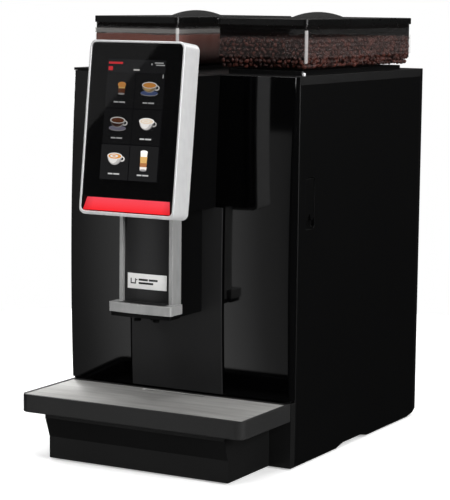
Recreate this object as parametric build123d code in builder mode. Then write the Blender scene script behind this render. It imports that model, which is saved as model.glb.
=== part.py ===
from build123d import *
import math
import os

os.makedirs("parts", exist_ok=True)

# Driving dimensions, millimetres. X runs across the machine, -Y is its front, Z is up.
# The origin is on the floor, in the middle of the whole machine's footprint.
cabinet_width = 337.0
cabinet_depth = 405.8
cabinet_height = 514.0
head_reach = 152.6
floor_gap = 2.0
foot_height = 6.0
foot_radius = 16.0
foot_side_inset = 36.0
foot_end_inset = 45.0
sheet = 2.0
panel_thick = 6.0
fit = 0.3
seat = 0.15
shaft_fit = 0.05
cut_over = 1.0
feather = 0.01

half_width = cabinet_width / 2
overall_depth = cabinet_depth + head_reach
back_y = overall_depth / 2
front_y = back_y - cabinet_depth
inner_x = half_width - panel_thick

# Side panels: bevelled edges and a hand notch in the bottom edge.
top_bevel_height = 11.0
top_bevel_inset = 4.0
rear_bevel_length = 19.8
rear_bevel_inset = 4.5
front_bevel = 1.5
notch_start = 126.0
notch_end = 225.7
notch_ramp = 22.0
notch_height = 4.4
heel_length = 40.8
heel_height = 6.0

# Paddle latch, let into the right side panel.
latch_slot_front = 20.5
latch_slot_width = 26.3
latch_slot_bottom = cabinet_height - 200.4
latch_slot_height = 68.4
latch_slot_depth = 4.8
latch_slot_round = 5.0
latch_side_gap = 0.8
latch_thick = 3.0
latch_recess = 0.6
latch_finger_gap = 12.0
latch_pivot_drop = 3.2
latch_crown = 1.9
latch_notch_half = 4.6
latch_notch_side = 3.2
latch_notch_height = 9.0
latch_pin_radius = 0.6
latch_pin_grip = 1.4

# Heights of the tray and of the door above it.
tray_bottom = 65.0
tray_height = 24.0
tray_top = tray_bottom + tray_height
lower_front_top = tray_top - 1.0
door_bottom = lower_front_top + 4.0

# Front door: a bowed skin hung on two pins at its left edge.
door_lid_gap = 0.4
door_back_gap = 1.0
bow_bottom = 17.0
bow_middle = 22.0
bow_middle_z = cabinet_height - 214.0
bow_top = 12.5
door_skin = 3.5
door_margin = 12.0
door_edge_round = 1.8
door_chamfer = 5.0
hinge_inset = 6.0
hinge_forward = 9.0
hinge_pin_radius = 2.0
hinge_pin_depth = 9.0
hinge_pin_tip_gap = 1.0
bracket_thick = 3.4
bracket_reach = 6.0
bracket_width = 24.0
bracket_lead = 5.0
centre_panel_half = 69.3
centre_panel_proud = 2.0
groove_width = 3.0
groove_depth = 1.5

# Lower front: the post plate under the door and the box that carries the drip tray.
lower_front_proud = 11.4
tray_base_half = half_width - 32.5
tray_base_front = 121.5
tray_base_knee = 31.0
tray_base_flare = 10.5
tray_base_shoulder = 58.0
tray_base_wall = 3.0

# Drip tray and its grille.
tray_half = half_width - fit
tray_front = 143.9
tray_corner = 12.0
tray_rear_corner = 2.0
tray_floor = 3.0
tray_ledge = 8.0
tray_rim = 4.3
tray_bottom_round = 1.5
grille_thick = 2.0
grille_sink = 0.5
grille_rear_gap = 10.0
grille_corner = 2.0
finger_slot_length = 96.0
finger_slot_width = 8.0
finger_slot_margin = 6.5

# Operating head: a silver frame, tilted back, round a glass face.
head_width = 141.0
head_height = 223.3
head_bottom_z = cabinet_height - 177.0
head_tilt = 7.04
head_depth = 37.0
head_corner = 9.0
head_rim = 3.0
head_rim_bottom = 4.5
head_edge_round = 1.0
glass_recess = 0.8
glass_thick = 2.2
display_width = 86.0
display_height = 154.2
display_low = 45.3
display_thick = 4.4
bar_low = 5.8
bar_height = 16.6
bar_half_low = 64.5
bar_half_high = 63.0
bar_depth = 13.2
bar_sink = 6.0
bar_gap = 0.3
bar_shelf = 1.0
core_pocket_margin = 5.0
core_pocket_end = 12.0
core_pocket_rise = 4.0
core_web = 3.0
rear_cover_depth = 13.0
rear_cover_inset = 4.5
rear_cover_round = 6.0
rear_cover_wall = 3.0
neck_half = 57.8
neck_bottom = head_bottom_z + 4.0

# Spout: slides up and down on a tongue inside the neck.
spout_half = 40.0
spout_front = 101.3
spout_frame_back = 79.0
spout_back = 25.2
spout_top = neck_bottom - 0.5
spout_foot = spout_top - 138.5
spout_foot_inset = 2.0
bar_width = 5.2
lip_half = spout_half + 7.0
lip_wing = 32.0
lip_front = 119.4
lip_bow = 2.5
lip_bottom = spout_foot + 5.6
lip_top = lip_bottom + 12.2
lip_corner = 3.0
ledge_sink = 1.0
ledge_margin = 3.2
panel_recess = 3.0
panel_bow = 2.0
panel_back = 4.0
label_half = 29.5
label_low = lip_top + 17.2
label_height = 20.0
label_thick = 0.9
tongue_half = 25.0
tongue_front = 64.0
tongue_back = 38.0
tongue_top = neck_bottom + 89.0
tongue_room = 4.0
nozzle_radius = 4.5
nozzle_bore = 2.5
nozzle_length = 7.0
nozzle_pitch = 28.0
nozzle_front = 98.0
water_nozzle_front = 82.0

# Hoppers: two clear boxes with black lids.
hopper_front = 26.4
hopper_rear = 42.4
hopper_side = 4.4
hopper_gap = 58.6
hopper_width = half_width - hopper_gap / 2 - hopper_side
hopper_depth = cabinet_depth - hopper_front - hopper_rear
hopper_corner = 6.0
hopper_wall = 2.5
hopper_taper = 7.0
hopper_foot_z = cabinet_height + 6.0
hopper_wall_z = hopper_foot_z + 11.0
hopper_rim_z = hopper_foot_z + 58.3
hopper_bore_corner = 1.0
plinth_inset = 4.0
outlet_radius = 20.0
outlet_behind_front = 186.0
bean_level = hopper_foot_z + 42.0
powder_level = hopper_foot_z + 45.0
lid_thick = 8.8
lid_wall = 4.0
lid_skin = 2.5
lid_rim_drop = 5.0
lid_rim_wall = 2.0
dome_radius = 37.5
dome_height = 8.0
dome_seat = 1.0
lid_round = 1.0

# Chassis and rear panel.
post = 12.0
front_post_gap = 4.0
rear_recess = 5.0
rear_sheet = 3.0
deck_thick = 4.0
deck_bottom = cabinet_height - deck_thick
pan_top = foot_height + sheet
rail_top = deck_bottom - 310.0
shelf_sheet = 3.0
shelf_top = rail_top + shelf_sheet
shelf_front_gap = 58.0
vent_rows = 9
vent_pitch = 12.0
vent_length = 110.0
vent_width = 4.0
vent_low = 150.0
vent_start = 15.0
fan_size = 92.0
fan_depth = 25.0
fan_bore = 42.0
fan_hub = 15.0
fan_z = deck_bottom - 110.0
fan_guard_rings = ((12.0, 6), (24.0, 12), (36.0, 18))
fan_guard_hole = 3.5
fan_hub_room = 4.0
fan_gap = 1.0
fan_blade_chord = 12.0
fan_blade_pitch = 38.0
fan_arm_half = 2.0
fan_spindle = 2.0
fan_web = 3.0
blade_count = 7
blade_thick = 2.0
blade_root = 0.8
inlet_x = -100.0
socket_z = 60.0
inlet_width = 28.0
inlet_height = 20.0
inlet_depth = 24.0
inlet_flange = 6.0
inlet_flange_rise = 3.0
inlet_shell = 2.0
socket_depth = 16.0
pin_pitch = 7.0
pin_half = 1.0
pin_half_height = 2.5
pin_sink = 3.0
rocker_x = -50.0
rocker_width = 14.0
rocker_height = 22.0
rocker_gap = 1.0
rocker_proud = 2.0
rocker_dip = 0.8
rocker_taper = 1.5
rocker_lip = 0.5
rocker_pin_reach = 4.0
rocker_pin_short = 1.0
rocker_pin_radius = 1.0
water_x = 60.0
water_radius = 10.0
water_neck = 8.0
water_bore = 6.0
water_behind = 18.0
water_proud = 4.5
screw_radius = 3.5
screw_head = 1.8
screw_inset = 14.0

# Machinery.
bin_half = 60.0
bin_x = 60.0
bin_front_gap = 6.0
bin_depth = 150.0
bin_height = rail_top - post - pan_top - 30.0
bin_wall = 2.5
brew_x = 60.0
brew_y = front_y + 96.6
brew_width = 90.0
brew_frame_depth = 76.0
brew_frame_height = 127.0
brew_plate = 5.0
puck_drop = 20.0
chamber_radius = 32.0
chamber_bore = 25.0
chamber_height = 72.0
piston_head = 10.0
piston_lift = 5.0
rod_radius = 6.0
rod_length = 70.0
grinder_x = hopper_gap / 2 + hopper_width / 2
grinder_radius = 48.0
grinder_motor_radius = 40.0
grinder_motor_height = 117.0
grinder_height = 110.0
grinder_floor = 10.0
grinder_wall = 8.0
burr_radius = 38.0
burr_thick = 15.0
burr_lift = 15.0
burr_shaft = 5.0
burr_grooves = 12
burr_groove_at = 26.6
burr_groove_length = 19.0
burr_groove_width = 2.5
burr_groove_depth = 4.0
burr_shaft_lift = 1.0
throat_wall = 5.0
throat_flange = 4.0
auger_radius = 15.0
auger_bore = 17.0
auger_shaft = 4.0
auger_flights = 9
auger_flight_thick = 2.0
auger_start = 6.0
auger_end = 12.0
auger_shaft_start = 2.0
auger_shaft_end = 1.0
dispenser_half = 25.0
dispenser_length = 120.0
dispenser_height = 44.0
dispenser_wall = 8.0
dispenser_rear = 30.0
auger_motor_radius = 18.0
auger_motor_length = 48.0
mixer_y = front_y + 34.6
mixer_plate_z = deck_bottom - 165.0
mixer_hole_room = 1.0
mixer_plate = 5.0
mixer_post_width = 40.0
bowl_foot_radius = 22.0
bowl_rim_radius = 32.0
bowl_height = 60.0
bowl_wall = 2.5
whipper_radius = 15.0
whipper_shaft = 3.0
whipper_lift = 2.0
whipper_disc = 3.0
whipper_boss = 8.0
whipper_vanes = 6
whipper_vane_length = 9.0
whipper_vane_thick = 1.5
whipper_vane_height = 5.0
mixer_motor_radius = 20.0
mixer_motor_height = 55.0
boiler_x = -80.0
boiler_y = back_y - 119.2
boiler_radius = 48.0
boiler_height = rail_top - pan_top - 22.0
boiler_round = 10.0
boiler_port = 6.0
boiler_port_at = 18.0
boiler_port_height = 9.0
boiler_port_sink = 1.0
pump_x = 80.0
pump_y = back_y - 89.2
pump_radius = 22.0
pump_length = 90.0
pump_foot_half = 30.0
pump_foot_height = 12.0
pump_sink = 2.0
pump_port = 6.0
pump_port_length = 14.0
board_front_gap = 21.8
board_rear_gap = 10.0
board_side_gap = 5.0
board_height = 120.0
board_thick = 1.6
board_z = shelf_top + 57.0
board_peg = 3.0
board_peg_inset = 8.0
chip_count = 4
chip_gap = 8.0
chip_height = 24.0
chip_thick = 6.0

hopper_x = hopper_gap / 2 + hopper_width / 2
hopper_y = front_y + hopper_front + hopper_depth / 2
outlet_y = front_y + outlet_behind_front
rear_face = back_y - rear_recess
rear_inner = rear_face - rear_sheet
door_top = cabinet_height - door_lid_gap
door_back = front_y - door_back_gap
hinge_x = -half_width + hinge_inset
hinge_y = front_y - hinge_forward


def block(x_span, y_span, z_span, mode=Mode.ADD):
    with Locations((sum(x_span) / 2, sum(y_span) / 2, sum(z_span) / 2)):
        Box(x_span[1] - x_span[0], y_span[1] - y_span[0], z_span[1] - z_span[0], mode=mode)


def upright(x, y, z_span, radius, mode=Mode.ADD):
    with Locations((x, y, sum(z_span) / 2)):
        Cylinder(radius, z_span[1] - z_span[0], mode=mode)


def lengthwise(x, z, y_span, radius, mode=Mode.ADD):
    with Locations((x, sum(y_span) / 2, z)):
        Cylinder(radius, y_span[1] - y_span[0], rotation=(90, 0, 0), mode=mode)


def save(builder, name):
    builder.part.label = name
    export_step(builder.part, f"parts/{name}.step")


# The door's bow is one arc through three depths in front of the cabinet.
def bow_arc():
    low_y = front_y - bow_bottom
    mid_y = front_y - bow_middle
    top_y = front_y - bow_top
    low = low_y**2 + door_bottom**2
    mid = mid_y**2 + bow_middle_z**2
    top = top_y**2 + cabinet_height**2
    turn = 2 * (
        low_y * (bow_middle_z - cabinet_height)
        + mid_y * (cabinet_height - door_bottom)
        + top_y * (door_bottom - bow_middle_z)
    )
    centre_y = (
        low * (bow_middle_z - cabinet_height)
        + mid * (cabinet_height - door_bottom)
        + top * (door_bottom - bow_middle_z)
    ) / turn
    centre_z = (low * (top_y - mid_y) + mid * (low_y - top_y) + top * (mid_y - low_y)) / turn
    return centre_y, centre_z, math.hypot(low_y - centre_y, door_bottom - centre_z)


bow_y, bow_z, bow_radius = bow_arc()


def bow_point(z, proud=0.0):
    return bow_y - math.sqrt((bow_radius + proud) ** 2 - (z - bow_z) ** 2), z


def bow_strip(low_z, high_z, inner, outer):
    """Profile of a layer that follows the bow, between two depths off its face."""
    middle_z = (low_z + high_z) / 2
    with BuildSketch(Plane.YZ) as strip:
        with BuildLine():
            ThreePointArc(bow_point(low_z, outer), bow_point(middle_z, outer), bow_point(high_z, outer))
            Line(bow_point(high_z, outer), bow_point(high_z, inner))
            ThreePointArc(bow_point(high_z, inner), bow_point(middle_z, inner), bow_point(low_z, inner))
            Line(bow_point(low_z, inner), bow_point(low_z, outer))
        make_face()
    return strip.sketch


def bow_slab(low_z, high_z, depth_in, slab_back):
    """Profile between a flat back and the bow, depth_in behind the bow's face."""
    middle_z = (low_z + high_z) / 2
    with BuildSketch(Plane.YZ) as slab:
        with BuildLine():
            ThreePointArc(
                bow_point(low_z, -depth_in), bow_point(middle_z, -depth_in), bow_point(high_z, -depth_in)
            )
            Polyline(bow_point(high_z, -depth_in), (slab_back, high_z), (slab_back, low_z))
            Line((slab_back, low_z), bow_point(low_z, -depth_in))
        make_face()
    return slab.sketch


# ---- cabinet ----
with BuildPart() as rubber_feet:
    for x in (foot_side_inset - half_width, half_width - foot_side_inset):
        for y in (front_y + foot_end_inset, back_y - foot_end_inset):
            upright(x, y, (0.0, foot_height), foot_radius)
save(rubber_feet, "rubber_feet")

with BuildPart() as base_pan:
    block((-inner_x, inner_x), (front_y, rear_face), (foot_height, pan_top))
    block((-inner_x, inner_x), (rear_inner, rear_face), (pan_top, pan_top + post))
save(base_pan, "base_pan")


def make_side_panel(side):
    outer = side * half_width
    with BuildPart() as panel:
        with BuildSketch(Plane.YZ.offset(outer)):
            with BuildLine():
                Polyline(
                    (front_y, floor_gap),
                    (front_y + notch_start, floor_gap),
                    (front_y + notch_start + notch_ramp, floor_gap + notch_height),
                    (front_y + notch_end - notch_ramp, floor_gap + notch_height),
                    (front_y + notch_end, floor_gap),
                    (back_y - heel_length, floor_gap),
                    (back_y, floor_gap + heel_height),
                    (back_y, cabinet_height),
                    (front_y, cabinet_height),
                    close=True,
                )
            make_face()
        extrude(amount=-side * panel_thick)
        with BuildSketch(Plane.XZ.offset(-back_y)):
            with BuildLine():
                Polyline(
                    (outer, cabinet_height - top_bevel_height),
                    (outer, cabinet_height),
                    (outer - side * top_bevel_inset, cabinet_height),
                    close=True,
                )
            make_face()
        extrude(amount=cabinet_depth, mode=Mode.SUBTRACT)
        with BuildSketch(Plane.XY):
            with BuildLine():
                Polyline(
                    (outer, back_y - rear_bevel_length),
                    (outer, back_y),
                    (outer - side * rear_bevel_inset, back_y),
                    close=True,
                )
            make_face()
            with BuildLine():
                Polyline(
                    (outer, front_y + front_bevel),
                    (outer, front_y),
                    (outer - side * front_bevel, front_y),
                    close=True,
                )
            make_face()
        extrude(amount=cabinet_height, mode=Mode.SUBTRACT)
    return panel


left_side_panel = make_side_panel(-1)
save(left_side_panel, "left_side_panel")

slot_y = front_y + latch_slot_front + latch_slot_width / 2
slot_z = latch_slot_bottom + latch_slot_height / 2
slot_top = latch_slot_bottom + latch_slot_height
slot_floor_x = half_width - latch_slot_depth
latch_outer_x = half_width - latch_recess
latch_pivot_x = latch_outer_x - latch_thick / 2
latch_pivot_z = slot_top - latch_pivot_drop
latch_half = latch_slot_width / 2 - latch_side_gap

with BuildPart() as right_side_panel:
    add(make_side_panel(1).part)
    with BuildSketch(Plane.YZ.offset(half_width)):
        with Locations((slot_y, slot_z)):
            RectangleRounded(latch_slot_width, latch_slot_height, latch_slot_round)
    extrude(amount=-latch_slot_depth, mode=Mode.SUBTRACT)
    pin_span = (slot_y - latch_slot_width / 2 - latch_pin_grip, slot_y + latch_slot_width / 2 + latch_pin_grip)
    lengthwise(latch_pivot_x, latch_pivot_z, pin_span, latch_pin_radius, Mode.SUBTRACT)
save(right_side_panel, "right_side_panel")

with BuildPart() as latch_pin:
    lengthwise(latch_pivot_x, latch_pivot_z, pin_span, latch_pin_radius)
save(latch_pin, "latch_pin")

latch_low = latch_slot_bottom + latch_finger_gap
with BuildPart() as latch_lever:
    with BuildSketch(Plane.YZ.offset(latch_outer_x)) as latch_outline:
        with Locations((slot_y, (latch_low + latch_pivot_z + latch_crown) / 2)):
            Rectangle(2 * latch_half, latch_pivot_z + latch_crown - latch_low)
        fillet(latch_outline.vertices().group_by(Axis.Z)[-1], radius=latch_slot_round - latch_side_gap)
        with BuildLine():
            Polyline(
                (slot_y - latch_notch_half, latch_low - cut_over),
                (slot_y - latch_notch_half, latch_low + latch_notch_side),
                (slot_y, latch_low + latch_notch_height),
                (slot_y + latch_notch_half, latch_low + latch_notch_side),
                (slot_y + latch_notch_half, latch_low - cut_over),
                close=True,
            )
        make_face(mode=Mode.SUBTRACT)
    extrude(amount=-latch_thick)
    lengthwise(latch_pivot_x, latch_pivot_z, pin_span, latch_pin_radius + shaft_fit, Mode.SUBTRACT)
save(latch_lever, "latch_lever")

with BuildPart() as rear_panel:
    block((-inner_x, inner_x), (rear_inner, rear_face), (pan_top + post, deck_bottom))
    for row in range(vent_rows):
        vent_z = vent_low + row * vent_pitch
        block((vent_start, vent_start + vent_length), (rear_inner, rear_face), (vent_z, vent_z + vent_width), Mode.SUBTRACT)
    for ring_radius, hole_count in fan_guard_rings:
        for hole in range(hole_count):
            turn = 2 * math.pi * hole / hole_count
            hole_x = ring_radius * math.cos(turn)
            hole_z = fan_z + ring_radius * math.sin(turn)
            lengthwise(hole_x, hole_z, (rear_inner, rear_face), fan_guard_hole, Mode.SUBTRACT)
    inlet_half = inlet_width / 2
    block(
        (inlet_x - inlet_half, inlet_x + inlet_half),
        (rear_inner, rear_face),
        (socket_z - inlet_height / 2, socket_z + inlet_height / 2),
        Mode.SUBTRACT,
    )
    block(
        (rocker_x - rocker_width / 2 - rocker_gap, rocker_x + rocker_width / 2 + rocker_gap),
        (rear_inner, rear_face),
        (socket_z - rocker_height / 2 - rocker_gap, socket_z + rocker_height / 2 + rocker_gap),
        Mode.SUBTRACT,
    )
    rocker_pin_length = rocker_width + 2 * rocker_pin_reach
    with Locations((rocker_x, rear_inner + rear_sheet / 2, socket_z)):
        Cylinder(rocker_pin_radius + shaft_fit, rocker_pin_length, rotation=(0, 90, 0), mode=Mode.SUBTRACT)
    lengthwise(water_x, socket_z, (rear_inner, rear_face), water_neck, Mode.SUBTRACT)
save(rear_panel, "rear_panel")

with BuildPart() as rear_screws:
    for x in (-inner_x + screw_inset, inner_x - screw_inset):
        for z in (pan_top + post + screw_inset, (pan_top + post + deck_bottom) / 2, deck_bottom - screw_inset):
            lengthwise(x, z, (rear_face, rear_face + screw_head), screw_radius)
save(rear_screws, "rear_screws")

with BuildPart() as mains_inlet:
    block(
        (inlet_x - inlet_half, inlet_x + inlet_half),
        (rear_inner - inlet_depth, rear_face),
        (socket_z - inlet_height / 2, socket_z + inlet_height / 2),
    )
    block(
        (inlet_x - inlet_half - inlet_flange, inlet_x + inlet_half + inlet_flange),
        (rear_face, rear_face + inlet_shell),
        (socket_z - inlet_height / 2 - inlet_flange_rise, socket_z + inlet_height / 2 + inlet_flange_rise),
    )
    block(
        (inlet_x - inlet_half + inlet_shell, inlet_x + inlet_half - inlet_shell),
        (rear_face - socket_depth, rear_face + inlet_shell),
        (socket_z - inlet_height / 2 + inlet_shell, socket_z + inlet_height / 2 - inlet_shell),
        Mode.SUBTRACT,
    )
    for pin_x in (inlet_x - pin_pitch, inlet_x, inlet_x + pin_pitch):
        block(
            (pin_x - pin_half, pin_x + pin_half),
            (rear_face - socket_depth, rear_face - pin_sink),
            (socket_z - pin_half_height, socket_z + pin_half_height),
        )
save(mains_inlet, "mains_inlet")

with BuildPart() as power_rocker:
    with BuildSketch(Plane.YZ.offset(rocker_x - rocker_width / 2)):
        with BuildLine():
            Polyline(
                (rear_inner - rocker_gap, socket_z - rocker_height / 2 + rocker_taper),
                (rear_face + rocker_proud, socket_z - rocker_height / 2 + rocker_lip),
                (rear_face + rocker_dip, socket_z),
                (rear_face + rocker_proud, socket_z + rocker_height / 2 - rocker_lip),
                (rear_inner - rocker_gap, socket_z + rocker_height / 2 - rocker_taper),
                close=True,
            )
        make_face()
    extrude(amount=rocker_width)
    with Locations((rocker_x, rear_inner + rear_sheet / 2, socket_z)):
        Cylinder(rocker_pin_radius, rocker_pin_length - 2 * rocker_pin_short, rotation=(0, 90, 0))
save(power_rocker, "power_rocker")

with BuildPart() as water_inlet:
    lengthwise(water_x, socket_z, (rear_inner - water_behind, rear_face), water_neck)
    lengthwise(water_x, socket_z, (rear_face, rear_face + water_proud), water_radius)
    lengthwise(water_x, socket_z, (rear_inner - water_behind, rear_face + water_proud), water_bore, Mode.SUBTRACT)
save(water_inlet, "water_inlet")

post_x = inner_x - post
front_post = (front_y + front_post_gap, front_y + front_post_gap + post)
rear_post = (rear_inner - post, rear_inner)
with BuildPart() as chassis_frame:
    for side in (-1, 1):
        x_span = (post_x, inner_x) if side > 0 else (-inner_x, -post_x)
        block(x_span, front_post, (pan_top, deck_bottom))
        block(x_span, rear_post, (pan_top, deck_bottom))
        block(x_span, (front_post[0], rear_post[1]), (rail_top - post, rail_top))
        block(x_span, (front_post[0], rear_post[1]), (deck_bottom - post, deck_bottom))
    block((-inner_x, inner_x), front_post, (deck_bottom - post, deck_bottom))
    block((-inner_x, inner_x), rear_post, (deck_bottom - post, deck_bottom))
save(chassis_frame, "chassis_frame")

with BuildPart() as top_deck:
    block((-inner_x, inner_x), (front_y, back_y), (deck_bottom, cabinet_height))
    for x in (-hopper_x, hopper_x):
        upright(x, outlet_y, (deck_bottom, cabinet_height), outlet_radius, Mode.SUBTRACT)
save(top_deck, "top_deck")

shelf_y = (front_y + shelf_front_gap, rear_post[0])
with BuildPart() as equipment_shelf:
    block((-inner_x, inner_x), shelf_y, (rail_top, shelf_top))
    upright(brew_x, brew_y, (rail_top, shelf_top), puck_drop, Mode.SUBTRACT)
save(equipment_shelf, "equipment_shelf")

lower_front = front_y - lower_front_proud
tray_base_y = front_y - tray_base_front
with BuildPart() as tray_base:
    block((-half_width, half_width), (lower_front, front_y), (floor_gap, lower_front_top))
    block(
        (-half_width + tray_base_wall, half_width - tray_base_wall),
        (lower_front + tray_base_wall, front_y),
        (floor_gap, lower_front_top - tray_base_wall),
        Mode.SUBTRACT,
    )
    with BuildSketch(Plane.YZ):
        with BuildLine():
            Polyline(
                (lower_front, floor_gap),
                (tray_base_y, floor_gap),
                (tray_base_y, tray_base_knee),
                (tray_base_y - tray_base_flare, tray_base_shoulder),
                (tray_base_y - tray_base_flare, tray_bottom - fit),
                (lower_front, tray_bottom - fit),
                close=True,
            )
        make_face()
    extrude(amount=tray_base_half, both=True)
    with BuildSketch(Plane.YZ):
        with BuildLine():
            Polyline(
                (lower_front - tray_base_wall, floor_gap),
                (tray_base_y + tray_base_wall, floor_gap),
                (tray_base_y + tray_base_wall, tray_base_knee),
                (tray_base_y - tray_base_flare + tray_base_wall, tray_base_shoulder),
                (tray_base_y - tray_base_flare + tray_base_wall, tray_bottom - fit - tray_base_wall),
                (lower_front - tray_base_wall, tray_bottom - fit - tray_base_wall),
                close=True,
            )
        make_face()
    extrude(amount=tray_base_half - tray_base_wall, both=True, mode=Mode.SUBTRACT)
save(tray_base, "tray_base")

# ---- hinge of the front door ----
with BuildPart() as hinge_brackets:
    bracket_x = (hinge_x - bracket_reach, hinge_x + bracket_width)
    block(bracket_x, (hinge_y - bracket_lead, front_y + bracket_width), (cabinet_height, cabinet_height + bracket_thick))
    upright(hinge_x, hinge_y, (cabinet_height, cabinet_height + bracket_thick), hinge_pin_radius, Mode.SUBTRACT)
    block(bracket_x, (lower_front, front_y), (lower_front_top, lower_front_top + bracket_thick))
    upright(
        hinge_x,
        hinge_y,
        (lower_front_top, lower_front_top + bracket_thick),
        hinge_pin_radius,
        Mode.SUBTRACT,
    )
save(hinge_brackets, "hinge_brackets")

pin_low = (lower_front_top, door_bottom + hinge_pin_depth)
pin_high = (door_top - hinge_pin_depth, cabinet_height + bracket_thick)
with BuildPart() as hinge_pins:
    upright(hinge_x, hinge_y, pin_low, hinge_pin_radius)
    upright(hinge_x, hinge_y, pin_high, hinge_pin_radius)
save(hinge_pins, "hinge_pins")

# ---- front door ----
with BuildPart() as front_door:
    extrude(bow_slab(door_bottom, door_top, 0.0, door_back), amount=half_width, both=True)
    fillet(front_door.edges().filter_by(GeomType.CIRCLE), radius=door_edge_round)
    extrude(
        bow_slab(door_bottom + door_margin, door_top - door_margin, door_skin, door_back),
        amount=half_width - door_margin,
        both=True,
        mode=Mode.SUBTRACT,
    )
    for groove_x in (centre_panel_half, -centre_panel_half - groove_width):
        strip = bow_strip(door_bottom, neck_bottom, -groove_depth, cut_over)
        extrude(strip.moved(Location((groove_x, 0, 0))), amount=groove_width, mode=Mode.SUBTRACT)
    with BuildSketch(Plane.XY.offset(door_bottom)):
        with BuildLine():
            Polyline(
                (-half_width, door_back),
                (-half_width + door_chamfer, door_back),
                (-half_width, door_back - door_chamfer),
                close=True,
            )
        make_face()
    extrude(amount=door_top - door_bottom, mode=Mode.SUBTRACT)
    bore = hinge_pin_radius + shaft_fit
    upright(hinge_x, hinge_y, (door_bottom, pin_low[1] + hinge_pin_tip_gap), bore, Mode.SUBTRACT)
    upright(hinge_x, hinge_y, (pin_high[0] - hinge_pin_tip_gap, door_top), bore, Mode.SUBTRACT)
save(front_door, "front_door")

with BuildPart() as door_centre_panel:
    strip = bow_strip(door_bottom, neck_bottom - fit, seat, centre_panel_proud)
    extrude(strip, amount=centre_panel_half, both=True)
save(door_centre_panel, "door_centre_panel")

# ---- operating head ----
tilt = math.radians(head_tilt)
head_front_y = -overall_depth / 2
head_origin = (0, head_front_y, head_bottom_z)
head_plane = Plane(origin=head_origin, x_dir=(1, 0, 0), z_dir=(0, -math.cos(tilt), math.sin(tilt)))
head_side = Plane(origin=head_origin, x_dir=(0, math.sin(tilt), math.cos(tilt)), z_dir=(1, 0, 0))
face_width = head_width - 2 * head_rim
face_height = head_height - head_rim - head_rim_bottom
face_middle = head_rim_bottom + face_height / 2
face_corner = head_corner - head_rim
bar_top = bar_low + bar_height
glass_back = glass_recess + glass_thick
face_split = bar_top + bar_shelf


def behind_head(depth, along):
    """(y, z) of a point depth behind the head's face, along it from its lower edge."""
    return (
        head_front_y + depth * math.cos(tilt) + along * math.sin(tilt),
        head_bottom_z - depth * math.sin(tilt) + along * math.cos(tilt),
    )


with BuildPart() as head_frame:
    with BuildSketch(head_plane):
        with Locations((0, head_height / 2)):
            RectangleRounded(head_width, head_height, head_corner)
        with Locations((0, face_middle)):
            RectangleRounded(face_width, face_height, face_corner, mode=Mode.SUBTRACT)
    extrude(amount=-head_depth)
    front_edges = head_frame.edges().filter_by(
        lambda edge: abs(head_plane.to_local_coords(edge.center()).Z) < feather
    )
    fillet(front_edges, radius=head_edge_round)
save(head_frame, "head_frame")

with BuildPart() as screen_glass:
    with BuildSketch(head_plane.offset(-glass_back)):
        with Locations((0, face_middle)):
            RectangleRounded(face_width, face_height, face_corner)
        with Locations((0, face_split / 2)):
            Rectangle(head_width, face_split, mode=Mode.SUBTRACT)
    extrude(amount=glass_thick)
save(screen_glass, "screen_glass")

with BuildPart() as head_core:
    with BuildSketch(head_plane.offset(-head_depth)):
        with Locations((0, face_middle)):
            RectangleRounded(face_width, face_height, face_corner)
    extrude(amount=head_depth - glass_back)
    with BuildSketch(head_plane.offset(-glass_back)):
        with Locations((0, face_middle)):
            RectangleRounded(face_width, face_height, face_corner)
        with Locations((0, face_split + face_height)):
            Rectangle(head_width, 2 * face_height, mode=Mode.SUBTRACT)
    extrude(amount=glass_thick)
    with BuildSketch(head_plane.offset(-glass_recess - bar_depth - bar_gap)):
        with BuildLine():
            Polyline(
                (-bar_half_low - bar_gap, 0),
                (bar_half_low + bar_gap, 0),
                (bar_half_low + bar_gap, bar_low),
                (bar_half_high + bar_gap, bar_top + bar_gap),
                (-bar_half_high - bar_gap, bar_top + bar_gap),
                (-bar_half_low - bar_gap, bar_low),
                close=True,
            )
        make_face()
    extrude(amount=bar_depth + glass_recess + bar_gap + cut_over, mode=Mode.SUBTRACT)
    with BuildSketch(head_plane.offset(-glass_back - display_thick)):
        with Locations((0, display_low + display_height / 2)):
            Rectangle(display_width, display_height)
    extrude(amount=display_thick, mode=Mode.SUBTRACT)
    with BuildSketch(head_plane.offset(-head_depth)):
        with Locations((0, (face_split + head_height - head_rim) / 2 + core_pocket_rise)):
            Rectangle(face_width - 2 * core_pocket_margin, head_height - face_split - 2 * core_pocket_end)
    extrude(amount=head_depth - glass_back - display_thick - core_web, mode=Mode.SUBTRACT)
save(head_core, "head_core")

with BuildPart() as display_panel:
    with BuildSketch(head_plane.offset(-glass_back - display_thick)):
        with Locations((0, display_low + display_height / 2)):
            Rectangle(display_width, display_height)
    extrude(amount=display_thick)
save(display_panel, "display_panel")

with BuildPart() as light_bar:
    with BuildSketch(head_plane.offset(-glass_recess - bar_depth)):
        with BuildLine():
            Polyline(
                (-bar_half_low, bar_low),
                (bar_half_low, bar_low),
                (bar_half_high, bar_top),
                (-bar_half_high, bar_top),
                close=True,
            )
        make_face()
    extrude(amount=bar_depth)
    with BuildSketch(head_side):
        with BuildLine():
            Polyline(
                (bar_low, -glass_recess),
                (bar_top, -glass_recess - bar_sink),
                (bar_top + cut_over, -glass_recess - bar_sink),
                (bar_top + cut_over, 0),
                (bar_low, 0),
                close=True,
            )
        make_face()
    extrude(amount=head_width, both=True, mode=Mode.SUBTRACT)
save(light_bar, "light_bar")

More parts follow.
